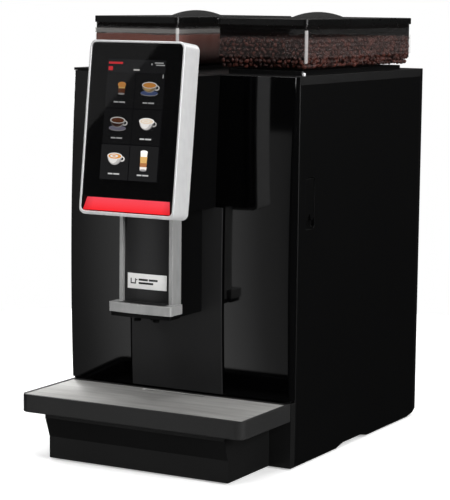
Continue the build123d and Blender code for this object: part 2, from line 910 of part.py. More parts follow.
cover_back = head_depth + rear_cover_depth
with BuildPart() as head_rear_cover:
    with BuildSketch(head_plane.offset(-cover_back)):
        with Locations((0, head_height / 2)):
            RectangleRounded(head_width - 2 * rear_cover_inset, head_height - 2 * rear_cover_inset, head_corner)
    extrude(amount=rear_cover_depth)
    cover_edges = head_rear_cover.edges().filter_by(
        lambda edge: abs(head_plane.to_local_coords(edge.center()).Z + cover_back) < feather
    )
    fillet(cover_edges, radius=rear_cover_round)
    with BuildSketch(head_plane.offset(-head_depth)):
        with Locations((0, head_height / 2)):
            Rectangle(head_width - 4 * rear_cover_inset, head_height - 6 * rear_cover_inset)
    extrude(amount=rear_cover_wall - rear_cover_depth, mode=Mode.SUBTRACT)
save(head_rear_cover, "head_rear_cover")

cover_run = math.sin(tilt) / math.cos(tilt)
cover_y, cover_z = behind_head(cover_back, 0.0)
tongue_y = (front_y - tongue_front, front_y - tongue_back)
with BuildPart() as neck_housing:
    with BuildSketch(Plane.YZ):
        with BuildLine():
            neck_middle = (neck_bottom + door_top) / 2
            ThreePointArc(
                bow_point(neck_bottom, seat), bow_point(neck_middle, seat), bow_point(door_top, seat)
            )
            Polyline(
                bow_point(door_top, seat),
                (cover_y + (door_top - cover_z) * cover_run, door_top),
                (cover_y + (neck_bottom - cover_z) * cover_run, neck_bottom),
                bow_point(neck_bottom, seat),
            )
        make_face()
    extrude(amount=neck_half, both=True)
    block(
        (-tongue_half - fit, tongue_half + fit),
        (tongue_y[0] - fit, tongue_y[1] + fit),
        (neck_bottom, tongue_top + tongue_room),
        Mode.SUBTRACT,
    )
save(neck_housing, "neck_housing")

# ---- spout ----
spout_y = front_y - spout_front
frame_back_y = front_y - spout_frame_back
spout_back_y = front_y - spout_back
lip_y = front_y - lip_front
panel_y = spout_y + panel_recess
panel_back_y = panel_y + panel_back
inner_half = spout_half - bar_width
panel_radius = (inner_half**2 + panel_bow**2) / (2 * panel_bow)


def spout_arc(x, proud=0.0):
    return x, panel_y + panel_radius - math.sqrt((panel_radius + proud) ** 2 - x**2)


def bowed_plan(inset, back):
    """Plan of the lip, or of the foot under it, pulled in from the lip's edge."""
    half = lip_half - inset
    corner_y = lip_y + lip_bow + inset
    with BuildSketch() as plan:
        with BuildLine():
            ThreePointArc((-half, corner_y), (0, lip_y + inset), (half, corner_y))
            Polyline((half, corner_y), (half, back), (-half, back), (-half, corner_y))
        make_face()
        fillet(plan.vertices().group_by(Axis.Y)[0], radius=lip_corner)
    return plan.sketch


with BuildPart() as spout_frame:
    extrude(bowed_plan(0.0, lip_y + lip_wing).moved(Location((0, 0, lip_bottom))), amount=lip_top - lip_bottom)
    block((-spout_half, spout_half), (spout_y, frame_back_y), (lip_bottom, lip_top))
    for x_span in ((inner_half, spout_half), (-spout_half, -inner_half)):
        block(x_span, (spout_y, frame_back_y), (lip_top, spout_top))
    block((-inner_half, inner_half), (panel_back_y, frame_back_y), (lip_bottom, lip_top), Mode.SUBTRACT)
    block(
        (-inner_half, inner_half),
        (lip_y + lip_bow + ledge_margin, panel_back_y),
        (lip_top - ledge_sink, lip_top),
        Mode.SUBTRACT,
    )
save(spout_frame, "spout_frame")

with BuildPart() as spout_body:
    block((-inner_half, inner_half), (panel_back_y, frame_back_y), (spout_foot, spout_top))
    block((-spout_half, spout_half), (frame_back_y, spout_back_y), (spout_foot, spout_top))
    extrude(
        bowed_plan(spout_foot_inset, lip_y + lip_wing - spout_foot_inset).moved(Location((0, 0, spout_foot))),
        amount=lip_bottom - spout_foot,
    )
    block((-spout_half, spout_half), (spout_y, frame_back_y), (spout_foot, lip_bottom))
    block((-tongue_half, tongue_half), tongue_y, (spout_top, tongue_top))
save(spout_body, "spout_body")

with BuildPart() as spout_front_panel:
    with BuildSketch(Plane.XY.offset(lip_top)):
        with BuildLine():
            ThreePointArc(spout_arc(-inner_half), spout_arc(0), spout_arc(inner_half))
            Polyline(
                spout_arc(inner_half), (inner_half, panel_back_y), (-inner_half, panel_back_y), spout_arc(-inner_half)
            )
        make_face()
    extrude(amount=spout_top - lip_top)
    block(
        (-inner_half, inner_half),
        (lip_y + lip_bow + ledge_margin, panel_back_y),
        (lip_top - ledge_sink, lip_top),
    )
save(spout_front_panel, "spout_front_panel")

with BuildPart() as label_plate:
    with BuildSketch(Plane.XY.offset(label_low)):
        with BuildLine():
            ThreePointArc(spout_arc(-label_half, seat), spout_arc(0, seat), spout_arc(label_half, seat))
            Line(spout_arc(label_half, seat), spout_arc(label_half, label_thick))
            ThreePointArc(
                spout_arc(label_half, label_thick), spout_arc(0, label_thick), spout_arc(-label_half, label_thick)
            )
            Line(spout_arc(-label_half, label_thick), spout_arc(-label_half, seat))
        make_face()
    extrude(amount=label_height)
save(label_plate, "label_plate")

nozzle_span = (spout_foot - nozzle_length, spout_foot)
with BuildPart() as dispense_nozzles:
    for x, ahead in (
        (-nozzle_pitch / 2, nozzle_front),
        (nozzle_pitch / 2, nozzle_front),
        (0.0, water_nozzle_front),
    ):
        upright(x, front_y - ahead, nozzle_span, nozzle_radius)
        upright(x, front_y - ahead, nozzle_span, nozzle_bore, Mode.SUBTRACT)
save(dispense_nozzles, "dispense_nozzles")

# ---- drip tray ----
tray_y = (front_y - tray_front, lower_front - fit)
grille_half = tray_half - tray_rim
grille_y = (tray_y[0] + tray_rim, tray_y[1] - grille_rear_gap)
grille_low = tray_top - grille_sink - grille_thick
grille_middle = (grille_y[0] + grille_y[1]) / 2
with BuildPart() as drip_tray:
    with BuildSketch(Plane.XY.offset(tray_bottom)) as tray_outline:
        with Locations((0, (tray_y[0] + tray_y[1]) / 2)):
            Rectangle(2 * tray_half, tray_y[1] - tray_y[0])
        fillet(tray_outline.vertices().group_by(Axis.Y)[0], radius=tray_corner)
        fillet(tray_outline.vertices().group_by(Axis.Y)[-1], radius=tray_rear_corner)
    extrude(amount=tray_top - tray_bottom)
    fillet(drip_tray.edges().group_by(Axis.Z)[0], radius=tray_bottom_round)
    with BuildSketch(Plane.XY.offset(grille_low - fit)):
        with Locations((0, grille_middle)):
            RectangleRounded(2 * (grille_half + fit), grille_y[1] - grille_y[0] + 2 * fit, grille_corner)
    extrude(amount=tray_top - grille_low + fit, mode=Mode.SUBTRACT)
    block(
        (-grille_half + tray_ledge, grille_half - tray_ledge),
        (grille_y[0] + tray_ledge, grille_y[1] - tray_ledge),
        (tray_bottom + tray_floor, grille_low),
        Mode.SUBTRACT,
    )
save(drip_tray, "drip_tray")

with BuildPart() as drip_grille:
    with BuildSketch(Plane.XY.offset(grille_low)):
        with Locations((0, grille_middle)):
            RectangleRounded(2 * grille_half, grille_y[1] - grille_y[0], grille_corner)
        with Locations((0, grille_y[1] - finger_slot_margin)):
            SlotOverall(finger_slot_length, finger_slot_width, mode=Mode.SUBTRACT)
    extrude(amount=grille_thick)
save(drip_grille, "drip_grille")


# ---- hoppers ----
def hopper_box(x, low, high, shrink, mode=Mode.ADD):
    """Tapered foot and upright wall of a hopper, each side pulled in by shrink."""
    width = hopper_width - 2 * shrink
    depth = hopper_depth - 2 * shrink
    corner = hopper_corner - min(shrink, hopper_corner - hopper_bore_corner)
    pull = hopper_taper * (hopper_wall_z - low) / (hopper_wall_z - hopper_foot_z)
    with BuildSketch(Plane.XY.offset(low)) as foot:
        with Locations((x, hopper_y)):
            RectangleRounded(width - 2 * pull, depth - 2 * pull, corner)
    with BuildSketch(Plane.XY.offset(hopper_wall_z)) as shoulder:
        with Locations((x, hopper_y)):
            RectangleRounded(width, depth, corner)
    loft([foot.sketch.face(), shoulder.sketch.face()], mode=mode)
    extrude(shoulder.sketch, amount=high - hopper_wall_z, mode=mode)


def make_hopper(x):
    with BuildPart() as hopper:
        hopper_box(x, hopper_foot_z, hopper_rim_z, 0.0)
        hopper_box(x, hopper_foot_z + hopper_wall, hopper_rim_z, hopper_wall, Mode.SUBTRACT)
        upright(x, outlet_y, (hopper_foot_z, hopper_foot_z + hopper_wall), outlet_radius, Mode.SUBTRACT)
    return hopper


def make_fill(x, level):
    with BuildPart() as fill:
        hopper_box(x, hopper_foot_z + hopper_wall + fit, level, hopper_wall + fit)
    return fill


def make_lid(x):
    lid_low = hopper_rim_z + fit
    lid_top = lid_low + lid_thick
    rim_out = hopper_wall + 2 * fit
    with BuildPart() as lid:
        with BuildSketch(Plane.XY.offset(lid_low)):
            with Locations((x, hopper_y)):
                RectangleRounded(hopper_width, hopper_depth, hopper_corner)
        extrude(amount=lid_thick)
        fillet(lid.edges().group_by(Axis.Z)[-1], radius=lid_round)
        with BuildSketch(Plane.XY.offset(lid_low - lid_rim_drop)):
            with Locations((x, hopper_y)):
                RectangleRounded(hopper_width - 2 * rim_out, hopper_depth - 2 * rim_out, hopper_corner - hopper_wall)
        extrude(amount=lid_rim_drop)
        inner = rim_out + lid_rim_wall
        with BuildSketch(Plane.XY.offset(lid_low - lid_rim_drop)):
            with Locations((x, hopper_y)):
                Rectangle(hopper_width - 2 * inner, hopper_depth - 2 * inner)
        extrude(amount=lid_rim_drop + lid_thick - lid_skin, mode=Mode.SUBTRACT)
        dome_plane = Plane(origin=(x, hopper_y, lid_top), x_dir=(1, 0, 0), z_dir=(0, -1, 0))
        dome_arc = (dome_radius**2 + dome_height**2) / (2 * dome_height)
        middle = dome_radius / 2
        with BuildSketch(dome_plane):
            with BuildLine():
                Polyline((0, dome_height), (0, -dome_seat), (dome_radius, -dome_seat), (dome_radius, 0))
                ThreePointArc(
                    (dome_radius, 0),
                    (middle, math.sqrt(dome_arc**2 - middle**2) - dome_arc + dome_height),
                    (0, dome_height),
                )
            make_face()
        revolve(axis=Axis((x, hopper_y, 0), (0, 0, 1)))
    return lid


for name, x, level, fill_name in (
    ("left", -hopper_x, powder_level, "powder_fill"),
    ("right", hopper_x, bean_level, "bean_fill"),
):
    save(make_hopper(x), f"hopper_{name}")
    save(make_fill(x, level), fill_name)
    save(make_lid(x), f"hopper_lid_{name}")

with BuildPart() as hopper_plinths:
    for x in (-hopper_x, hopper_x):
        inset = hopper_taper + plinth_inset
        with BuildSketch(Plane.XY.offset(cabinet_height)):
            with Locations((x, hopper_y)):
                RectangleRounded(hopper_width - 2 * inset, hopper_depth - 2 * inset, hopper_corner)
        extrude(amount=hopper_foot_z - cabinet_height)
        upright(x, outlet_y, (cabinet_height, hopper_foot_z), outlet_radius, Mode.SUBTRACT)
save(hopper_plinths, "hopper_plinths")

# ---- brewing: grounds bin, brew unit, grinder ----
bin_y = (front_y + bin_front_gap, front_y + bin_front_gap + bin_depth)
with BuildPart() as grounds_bin:
    block((bin_x - bin_half, bin_x + bin_half), bin_y, (pan_top, pan_top + bin_height))
    block(
        (bin_x - bin_half + bin_wall, bin_x + bin_half - bin_wall),
        (bin_y[0] + bin_wall, bin_y[1] - bin_wall),
        (pan_top + bin_wall, pan_top + bin_height),
        Mode.SUBTRACT,
    )
save(grounds_bin, "grounds_bin")

brew_x_span = (brew_x - brew_width / 2, brew_x + brew_width / 2)
brew_y_span = (brew_y - brew_frame_depth / 2, brew_y + brew_frame_depth / 2)
frame_top = shelf_top + brew_frame_height
with BuildPart() as brew_unit_frame:
    block(brew_x_span, brew_y_span, (shelf_top, frame_top))
    block(
        (brew_x_span[0] + brew_plate, brew_x_span[1] - brew_plate),
        brew_y_span,
        (shelf_top + brew_plate, frame_top - brew_plate),
        Mode.SUBTRACT,
    )
    upright(brew_x, brew_y, (shelf_top, shelf_top + brew_plate), puck_drop, Mode.SUBTRACT)
    upright(brew_x, brew_y, (frame_top - brew_plate, frame_top), rod_radius + shaft_fit, Mode.SUBTRACT)
save(brew_unit_frame, "brew_unit_frame")

chamber_low = shelf_top + brew_plate
chamber_top = chamber_low + chamber_height
with BuildPart() as brew_chamber:
    upright(brew_x, brew_y, (chamber_low, chamber_top), chamber_radius)
    upright(brew_x, brew_y, (chamber_low, chamber_top), chamber_bore, Mode.SUBTRACT)
save(brew_chamber, "brew_chamber")

piston_low = chamber_top + piston_lift
with BuildPart() as brew_piston:
    upright(brew_x, brew_y, (piston_low, piston_low + piston_head), chamber_bore - fit)
    upright(brew_x, brew_y, (piston_low + piston_head, piston_low + piston_head + rod_length), rod_radius)
save(brew_piston, "brew_piston")

motor_top = shelf_top + grinder_motor_height
with BuildPart() as grinder_motor:
    upright(grinder_x, outlet_y, (shelf_top, motor_top), grinder_motor_radius)
save(grinder_motor, "grinder_motor")

grinder_top = motor_top + grinder_height
cavity_low = motor_top + grinder_floor
with BuildPart() as grinder_body:
    upright(grinder_x, outlet_y, (motor_top, grinder_top), grinder_radius)
    upright(grinder_x, outlet_y, (cavity_low, grinder_top), grinder_radius - grinder_wall, Mode.SUBTRACT)
    upright(grinder_x, outlet_y, (motor_top, cavity_low), burr_shaft + shaft_fit, Mode.SUBTRACT)
save(grinder_body, "grinder_body")

burr_low = cavity_low + burr_lift
with BuildPart() as grinding_burr:
    upright(grinder_x, outlet_y, (burr_low, burr_low + burr_thick), burr_radius)
    upright(grinder_x, outlet_y, (motor_top + burr_shaft_lift, burr_low), burr_shaft)
    with Locations((grinder_x, outlet_y, burr_low + burr_thick)):
        with PolarLocations(burr_groove_at, burr_grooves):
            Box(burr_groove_length, burr_groove_width, burr_groove_depth, mode=Mode.SUBTRACT)
save(grinding_burr, "grinding_burr")

with BuildPart() as bean_throat:
    upright(grinder_x, outlet_y, (grinder_top, grinder_top + throat_flange), grinder_radius)
    upright(grinder_x, outlet_y, (grinder_top + throat_flange, deck_bottom), outlet_radius + throat_wall)
    upright(grinder_x, outlet_y, (grinder_top, deck_bottom), outlet_radius, Mode.SUBTRACT)
save(bean_throat, "bean_throat")

# ---- instant powder: dispenser, auger, mixing bowl ----
screw_y = (outlet_y + dispenser_rear - dispenser_length, outlet_y + dispenser_rear)
screw_z = deck_bottom - dispenser_height / 2
with BuildPart() as powder_dispenser:
    block(
        (-hopper_x - dispenser_half, -hopper_x + dispenser_half), screw_y, (deck_bottom - dispenser_height, deck_bottom)
    )
    lengthwise(-hopper_x, screw_z, (screw_y[0], screw_y[1] - dispenser_wall), auger_bore, Mode.SUBTRACT)
    upright(-hopper_x, outlet_y, (screw_z, deck_bottom), outlet_radius, Mode.SUBTRACT)
    lengthwise(-hopper_x, screw_z, screw_y, auger_shaft + shaft_fit, Mode.SUBTRACT)
save(powder_dispenser, "powder_dispenser")

with BuildPart() as powder_auger:
    lengthwise(-hopper_x, screw_z, (screw_y[0] + auger_shaft_start, screw_y[1] - auger_shaft_end), auger_shaft)
    flight_pitch = (dispenser_length - dispenser_wall - auger_end) / auger_flights
    for flight in range(auger_flights):
        flight_y = screw_y[0] + auger_start + flight * flight_pitch
        lengthwise(-hopper_x, screw_z, (flight_y, flight_y + auger_flight_thick), auger_radius)
save(powder_auger, "powder_auger")

with BuildPart() as auger_motor:
    lengthwise(-hopper_x, screw_z, (screw_y[1], screw_y[1] + auger_motor_length), auger_motor_radius)
save(auger_motor, "auger_motor")

post_y = (shelf_y[0], shelf_y[0] + post)
with BuildPart() as mixer_stand:
    half_post = mixer_post_width / 2
    block((-hopper_x - half_post, -hopper_x + half_post), post_y, (shelf_top, mixer_plate_z))
    block(
        (-hopper_x - half_post, -hopper_x + half_post),
        (mixer_y - bowl_foot_radius, post_y[1]),
        (mixer_plate_z, mixer_plate_z + mixer_plate),
    )
    plate_hole = whipper_shaft + mixer_hole_room
    upright(-hopper_x, mixer_y, (mixer_plate_z, mixer_plate_z + mixer_plate), plate_hole, Mode.SUBTRACT)
save(mixer_stand, "mixer_stand")

bowl_low = mixer_plate_z + mixer_plate
bowl_plane = Plane(origin=(-hopper_x, mixer_y, bowl_low), x_dir=(1, 0, 0), z_dir=(0, -1, 0))
with BuildPart() as mixing_bowl:
    with BuildSketch(bowl_plane):
        with BuildLine():
            Polyline(
                (whipper_shaft + shaft_fit, 0),
                (bowl_foot_radius, 0),
                (bowl_rim_radius, bowl_height),
                (bowl_rim_radius - bowl_wall, bowl_height),
                (bowl_foot_radius - bowl_wall, bowl_wall),
                (whipper_shaft + shaft_fit, bowl_wall),
                close=True,
            )
        make_face()
    revolve(axis=Axis((-hopper_x, mixer_y, 0), (0, 0, 1)))
save(mixing_bowl, "mixing_bowl")

whipper_low = bowl_low + bowl_wall + whipper_lift
with BuildPart() as whipper:
    upright(-hopper_x, mixer_y, (mixer_plate_z + whipper_lift / 2, whipper_low + whipper_boss), whipper_shaft)
    upright(-hopper_x, mixer_y, (whipper_low, whipper_low + whipper_disc), whipper_radius)
    with Locations((-hopper_x, mixer_y, whipper_low + whipper_vane_height)):
        with PolarLocations(whipper_vane_length, whipper_vanes):
            Box(whipper_vane_length, whipper_vane_thick, whipper_vane_height)
save(whipper, "whipper")

with BuildPart() as mixer_motor:
    upright(-hopper_x, mixer_y, (mixer_plate_z - mixer_motor_height, mixer_plate_z), mixer_motor_radius)
save(mixer_motor, "mixer_motor")

# ---- water and electrics ----
with BuildPart() as boiler:
    upright(boiler_x, boiler_y, (pan_top, pan_top + boiler_height), boiler_radius)
    fillet(boiler.edges().group_by(Axis.Z)[-1], radius=boiler_round)
    boiler_top = pan_top + boiler_height
    for y in (boiler_y - boiler_port_at, boiler_y + boiler_port_at):
        upright(boiler_x, y, (boiler_top - boiler_port_sink, boiler_top + boiler_port_height), boiler_port)
save(boiler, "boiler")

pump_z = pan_top + pump_foot_height + pump_radius - pump_sink
pump_front = pump_y - pump_length / 2
with BuildPart() as water_pump:
    block(
        (pump_x - pump_radius, pump_x + pump_radius),
        (pump_y - pump_foot_half, pump_y + pump_foot_half),
        (pan_top, pan_top + pump_foot_height),
    )
    lengthwise(pump_x, pump_z, (pump_front, pump_front + pump_length), pump_radius)
    lengthwise(pump_x, pump_z, (pump_front - pump_port_length, pump_front), pump_port)
save(water_pump, "water_pump")

board_y = (outlet_y + grinder_radius + board_front_gap, rear_post[0] - board_rear_gap)
board_x = post_x - board_side_gap
board_face = board_x - board_thick
chip_pitch = (board_y[1] - board_y[0] - 2 * board_peg_inset) / chip_count
with BuildPart() as control_board:
    block((board_face, board_x), board_y, (board_z, board_z + board_height))
    for chip in range(chip_count):
        chip_y = board_y[0] + board_peg_inset + chip * chip_pitch
        chip_z = board_z + board_height / 2
        chip_span = (chip_y, chip_y + chip_pitch - chip_gap)
        block((board_face - chip_thick, board_face), chip_span, (chip_z, chip_z + chip_height))
    for y in (board_y[0] + board_peg_inset, board_y[1] - board_peg_inset):
        for z in (board_z + board_peg_inset, board_z + board_height - board_peg_inset):
            with Locations(((board_x + inner_x) / 2, y, z)):
                Cylinder(board_peg, inner_x - board_x, rotation=(0, 90, 0))
save(control_board, "control_board")

fan_y = (rear_inner - fan_depth, rear_inner)
with BuildPart() as fan_housing:
    half_fan = fan_size / 2
    block((-half_fan, half_fan), fan_y, (fan_z - half_fan, fan_z + half_fan))
    lengthwise(0, fan_z, fan_y, fan_bore, Mode.SUBTRACT)
    web_y = (rear_inner - fan_web, rear_inner)
    lengthwise(0, fan_z, web_y, fan_hub)
    arm_reach = fan_bore + fan_gap
    block((-arm_reach, arm_reach), web_y, (fan_z - fan_arm_half, fan_z + fan_arm_half))
    block((-fan_arm_half, fan_arm_half), web_y, (fan_z - arm_reach, fan_z + arm_reach))
    lengthwise(0, fan_z, (fan_y[0] + fan_hub_room, rear_inner), fan_spindle)
save(fan_housing, "fan_housing")

rotor_y = (fan_y[0] + fan_hub_room / 2, rear_inner - fan_web - fan_gap)
blade_length = fan_bore - fan_hub - fan_gap
with BuildPart() as fan_rotor:
    lengthwise(0, fan_z, rotor_y, fan_hub)
    for blade in range(blade_count):
        turn = 360.0 * blade / blade_count
        reach = fan_hub + blade_length / 2 - blade_root
        place = (reach * math.cos(math.radians(turn)), sum(rotor_y) / 2, fan_z - reach * math.sin(math.radians(turn)))
        with Locations(Location(place, (0, turn, 0))):
            Box(blade_length, fan_blade_chord, blade_thick, rotation=(fan_blade_pitch, 0, 0))
    lengthwise(0, fan_z, rotor_y, fan_spindle + shaft_fit, Mode.SUBTRACT)
save(fan_rotor, "fan_rotor")
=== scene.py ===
import math
import random
import bpy
import bmesh
from mathutils import Matrix, Vector, noise


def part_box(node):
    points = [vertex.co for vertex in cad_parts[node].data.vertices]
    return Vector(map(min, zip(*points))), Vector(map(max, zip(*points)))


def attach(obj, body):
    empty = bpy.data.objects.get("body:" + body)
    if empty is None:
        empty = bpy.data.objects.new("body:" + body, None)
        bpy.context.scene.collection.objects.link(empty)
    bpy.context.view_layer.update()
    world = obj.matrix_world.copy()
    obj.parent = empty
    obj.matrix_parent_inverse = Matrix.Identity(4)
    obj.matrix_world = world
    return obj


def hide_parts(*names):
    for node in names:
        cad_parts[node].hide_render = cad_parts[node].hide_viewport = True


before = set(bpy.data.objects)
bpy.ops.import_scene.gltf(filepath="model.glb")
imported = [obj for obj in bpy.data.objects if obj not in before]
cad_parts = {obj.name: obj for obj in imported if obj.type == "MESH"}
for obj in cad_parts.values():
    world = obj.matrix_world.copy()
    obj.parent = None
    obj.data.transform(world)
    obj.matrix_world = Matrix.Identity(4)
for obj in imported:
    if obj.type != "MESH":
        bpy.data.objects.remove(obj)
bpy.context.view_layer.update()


# camera, floor and lights
cameraView = {
    "aim": (0.0, -0.0166, 0.319),
    "azimuth": 28.91,
    "pitch": 7.41,
    "roll": 0.65,        # the view leans slightly clockwise
    "distance": 2.6963,
    "right": 0.0001,
    "up": -0.0525,
    "lens": 140.2,
    "farEnd": 20,
}


def placeCamera(values):
    turn, drop, roll = (math.radians(values[key]) for key in ("azimuth", "pitch", "roll"))
    look = Vector((-math.sin(turn) * math.cos(drop), math.cos(turn) * math.cos(drop), -math.sin(drop)))
    side = Vector((math.cos(turn), math.sin(turn), 0))
    above = side.cross(look)
    spot = Vector(values["aim"]) - look * values["distance"] + side * values["right"] + above * values["up"]
    rolledSide = side * math.cos(roll) + above * math.sin(roll)
    rolledUp = above * math.cos(roll) - side * math.sin(roll)
    lens = bpy.data.cameras.new("camera")
    lens.lens = values["lens"]
    lens.clip_end = values["farEnd"]
    camera = bpy.data.objects.new("camera", lens)
    axes = Matrix((rolledSide, rolledUp, -look)).transposed().to_4x4()
    camera.matrix_world = Matrix.Translation(spot) @ axes
    bpy.context.scene.collection.objects.link(camera)
    bpy.context.scene.camera = camera


placeCamera(cameraView)

studio = {
    "backdrop": (1.0, 1.0, 1.0),
    "roomLow": 0.02,        # what faces see near and below the horizon
    "roomHigh": 0.35,        # and towards the zenith
    "roomRise": (0.0, 0.9),
    "floorRadius": 1.15,
    "floorSides": 96,
    "floorColor": (0.9, 0.9, 0.9),
    "floorRough": 0.9,
    "floorGlow": 0.35,
}
# each lamp: name, where it stands, what it faces, width, height, turn about its own axis, watts
lampList = [
    ("keyRight", (2.4, -0.7, 1.1), (0.0, -0.1, 0.35), 1.2, 1.2, 0, 64),
    ("topSoft", (0.0, -0.3, 2.3), (0.0, 0.0, 0.3), 1.6, 1.6, 0, 27),
    ("frontHigh", (-0.9, -1.9, 2.1), (0.0, -0.2, 0.3), 0.9, 0.6, 0, 16),
    ("glassWedge", (-1.163, -1.75, 0.937), (-1.163, 0.0, 0.937), 0.9, 0.5, 52, 0.62),
    ("rearHigh", (1.1, 1.8, 2.0), (0.0, 0.1, 0.4), 1.0, 0.8, 0, 14),
    ("rearLeft", (-2.2, 1.4, 1.0), (0.0, 0.1, 0.3), 1.2, 1.2, 0, 40),
]
# a glowing wall in front, to the left; the steps give its brightness along X
softWall = {
    "y": -1.75,
    "low": -0.65,
    "high": 0.50,
    "steps": ((-1.32, 0.15), (-1.20, 0.35), (-1.10, 0.95), (-1.00, 1.15),
              (-0.85, 1.25), (-0.78, 0.85), (-0.72, 0.42), (-0.64, 0.30)),
}


def buildSoftWall(values):
    low, high = values["low"], values["high"]
    bm = bmesh.new()
    glow = bm.loops.layers.float_color.new("glow")
    for (x0, level0), (x1, level1) in zip(values["steps"], values["steps"][1:]):
        corners = ((x0, low, level0), (x1, low, level1), (x1, high, level1), (x0, high, level0))
        face = bm.faces.new([bm.verts.new((x, values["y"], z)) for x, z, level in corners])
        for loop, (x, z, level) in zip(face.loops, corners):
            loop[glow] = (level, level, level, 1)
    mesh = bpy.data.meshes.new("softWall")
    bm.to_mesh(mesh)
    bm.free()
    wall = bpy.data.objects.new("softWall", mesh)
    bpy.context.scene.collection.objects.link(wall)
    lit = bpy.data.materials.new("softWallGlow")
    lit.use_nodes = True
    shader = lit.node_tree.nodes["Principled BSDF"]
    shader.inputs["Base Color"].default_value = (0, 0, 0, 1)
    shader.inputs["Specular IOR Level"].default_value = 0
    shade = lit.node_tree.nodes.new("ShaderNodeAttribute")
    shade.attribute_name = "glow"
    lit.node_tree.links.new(shade.outputs["Color"], shader.inputs["Emission Color"])
    shader.inputs["Emission Strength"].default_value = 1.0
    mesh.materials.append(lit)
    wall.visible_camera = False


def buildStudio(values, lamps):
    bpy.context.scene.view_settings.view_transform = "Standard"
    world = bpy.data.worlds.new("studio")
    bpy.context.scene.world = world
    world.use_nodes = True
    nodes, links = world.node_tree.nodes, world.node_tree.links
    nodes.clear()
    out = nodes.new("ShaderNodeOutputWorld")
    mix = nodes.new("ShaderNodeMixShader")
    rays = nodes.new("ShaderNodeLightPath")
    seen = nodes.new("ShaderNodeBackground")
    seen.inputs["Color"].default_value = (*values["backdrop"], 1)
    room = nodes.new("ShaderNodeBackground")
    where = nodes.new("ShaderNodeTexCoord")
    split = nodes.new("ShaderNodeSeparateXYZ")
    ramp = nodes.new("ShaderNodeMapRange")
    ramp.interpolation_type = "SMOOTHSTEP"
    ramp.inputs["From Min"].default_value = values["roomRise"][0]
    ramp.inputs["From Max"].default_value = values["roomRise"][1]
    ramp.inputs["To Min"].default_value = values["roomLow"]
    ramp.inputs["To Max"].default_value = values["roomHigh"]
    links.new(where.outputs["Generated"], split.inputs[0])
    links.new(split.outputs["Z"], ramp.inputs["Value"])
    links.new(ramp.outputs["Result"], room.inputs["Strength"])
    links.new(rays.outputs["Is Camera Ray"], mix.inputs[0])
    links.new(room.outputs[0], mix.inputs[1])
    links.new(seen.outputs[0], mix.inputs[2])
    links.new(mix.outputs[0], out.inputs[0])

    disc = bmesh.new()
    bmesh.ops.create_circle(disc, cap_ends=True, segments=values["floorSides"], radius=values["floorRadius"])
    floorMesh = bpy.data.meshes.new("floor")
    disc.to_mesh(floorMesh)
    disc.free()
    floor = bpy.data.objects.new("floor", floorMesh)
    bpy.context.scene.collection.objects.link(floor)
    pale = bpy.data.materials.new("paleFloor")
    pale.use_nodes = True
    shader = pale.node_tree.nodes["Principled BSDF"]
    shader.inputs["Base Color"].default_value = (*values["floorColor"], 1)
    shader.inputs["Roughness"].default_value = values["floorRough"]
    shader.inputs["Emission Color"].default_value = (1, 1, 1, 1)
    shader.inputs["Emission Strength"].default_value = values["floorGlow"]
    floorMesh.materials.append(pale)
    floor.visible_glossy = False

    for name, spot, target, width, height, turn, watts in lamps:
        lamp = bpy.data.lights.new(name, "AREA")
        lamp.shape = "RECTANGLE"
        lamp.size = width
        lamp.size_y = height
        lamp.energy = watts
        holder = bpy.data.objects.new(name, lamp)
        aim = (Vector(target) - Vector(spot)).to_track_quat("-Z", "Y")
        spun = aim.to_matrix().to_4x4() @ Matrix.Rotation(math.radians(turn), 4, "Z")
        holder.matrix_world = Matrix.Translation(spot) @ spun
        holder.visible_camera = False
        bpy.context.scene.collection.objects.link(holder)


buildStudio(studio, lampList)
buildSoftWall(softWall)
print("studio ready")


# shared node groups
def startGroup(name, inputs, outputs):
    group = bpy.data.node_groups.new(name, "ShaderNodeTree")
    for label, kind, value in inputs:
        socket = group.interface.new_socket(name=label, in_out="INPUT", socket_type=kind)
        if value is not None:
            socket.default_value = value
    for label, kind in outputs:
        group.interface.new_socket(name=label, in_out="OUTPUT", socket_type=kind)
    return group, group.nodes.new("NodeGroupInput").outputs, group.nodes.new("NodeGroupOutput").inputs


def feed(tree, value, socket):        # an output is linked, a colour or number is set
    if isinstance(value, bpy.types.NodeSocket):
        tree.links.new(value, socket)
    elif isinstance(value, tuple):
        socket.default_value = (*value, 1)
    else:
        socket.default_value = value


def mathNode(tree, operation, first, second=None, clamp=False):
    node = tree.nodes.new("ShaderNodeMath")
    node.operation = operation
    node.use_clamp = clamp
    for socket, value in zip(node.inputs, (first, second)):
        if value is not None:
            feed(tree, value, socket)
    return node.outputs[0]


def noiseNode(tree, vector, scale, detail, roughness=0.5):
    node = tree.nodes.new("ShaderNodeTexNoise")
    node.inputs["Detail"].default_value = detail
    node.inputs["Roughness"].default_value = roughness
    feed(tree, vector, node.inputs["Vector"])
    feed(tree, scale, node.inputs["Scale"])
    return node.outputs["Fac"]


groupLook = {
    "grainDetail": 3.0,
    "cloudDetail": 4.0,
    "cloudRoughness": 0.6,
    "bevelSamples": 4,
    "edgeGain": 5.0,
    "speckScale": 160.0,
    "speckDetail": 6.0,
    "streakDetail": 4.0,
    "bandDetail": 2.0,
    "bandShare": 0.12,        # the wide streaks' scale, as a share of the fine ones'
}


def buildGrainGroup(look):
    group, entry, leave = startGroup(
        "mouldGrain",
        [("Vector", "NodeSocketVector", None),
         ("Scale", "NodeSocketFloat", 1500.0),
         ("Cloud", "NodeSocketFloat", 9.0)],
        [("Grain", "NodeSocketFloat"), ("Cloud", "NodeSocketFloat")],
    )
    fine = noiseNode(group, entry["Vector"], entry["Scale"], look["grainDetail"])
    soft = noiseNode(group, entry["Vector"], entry["Cloud"], look["cloudDetail"], look["cloudRoughness"])
    group.links.new(fine, leave["Grain"])
    group.links.new(soft, leave["Cloud"])
    return group


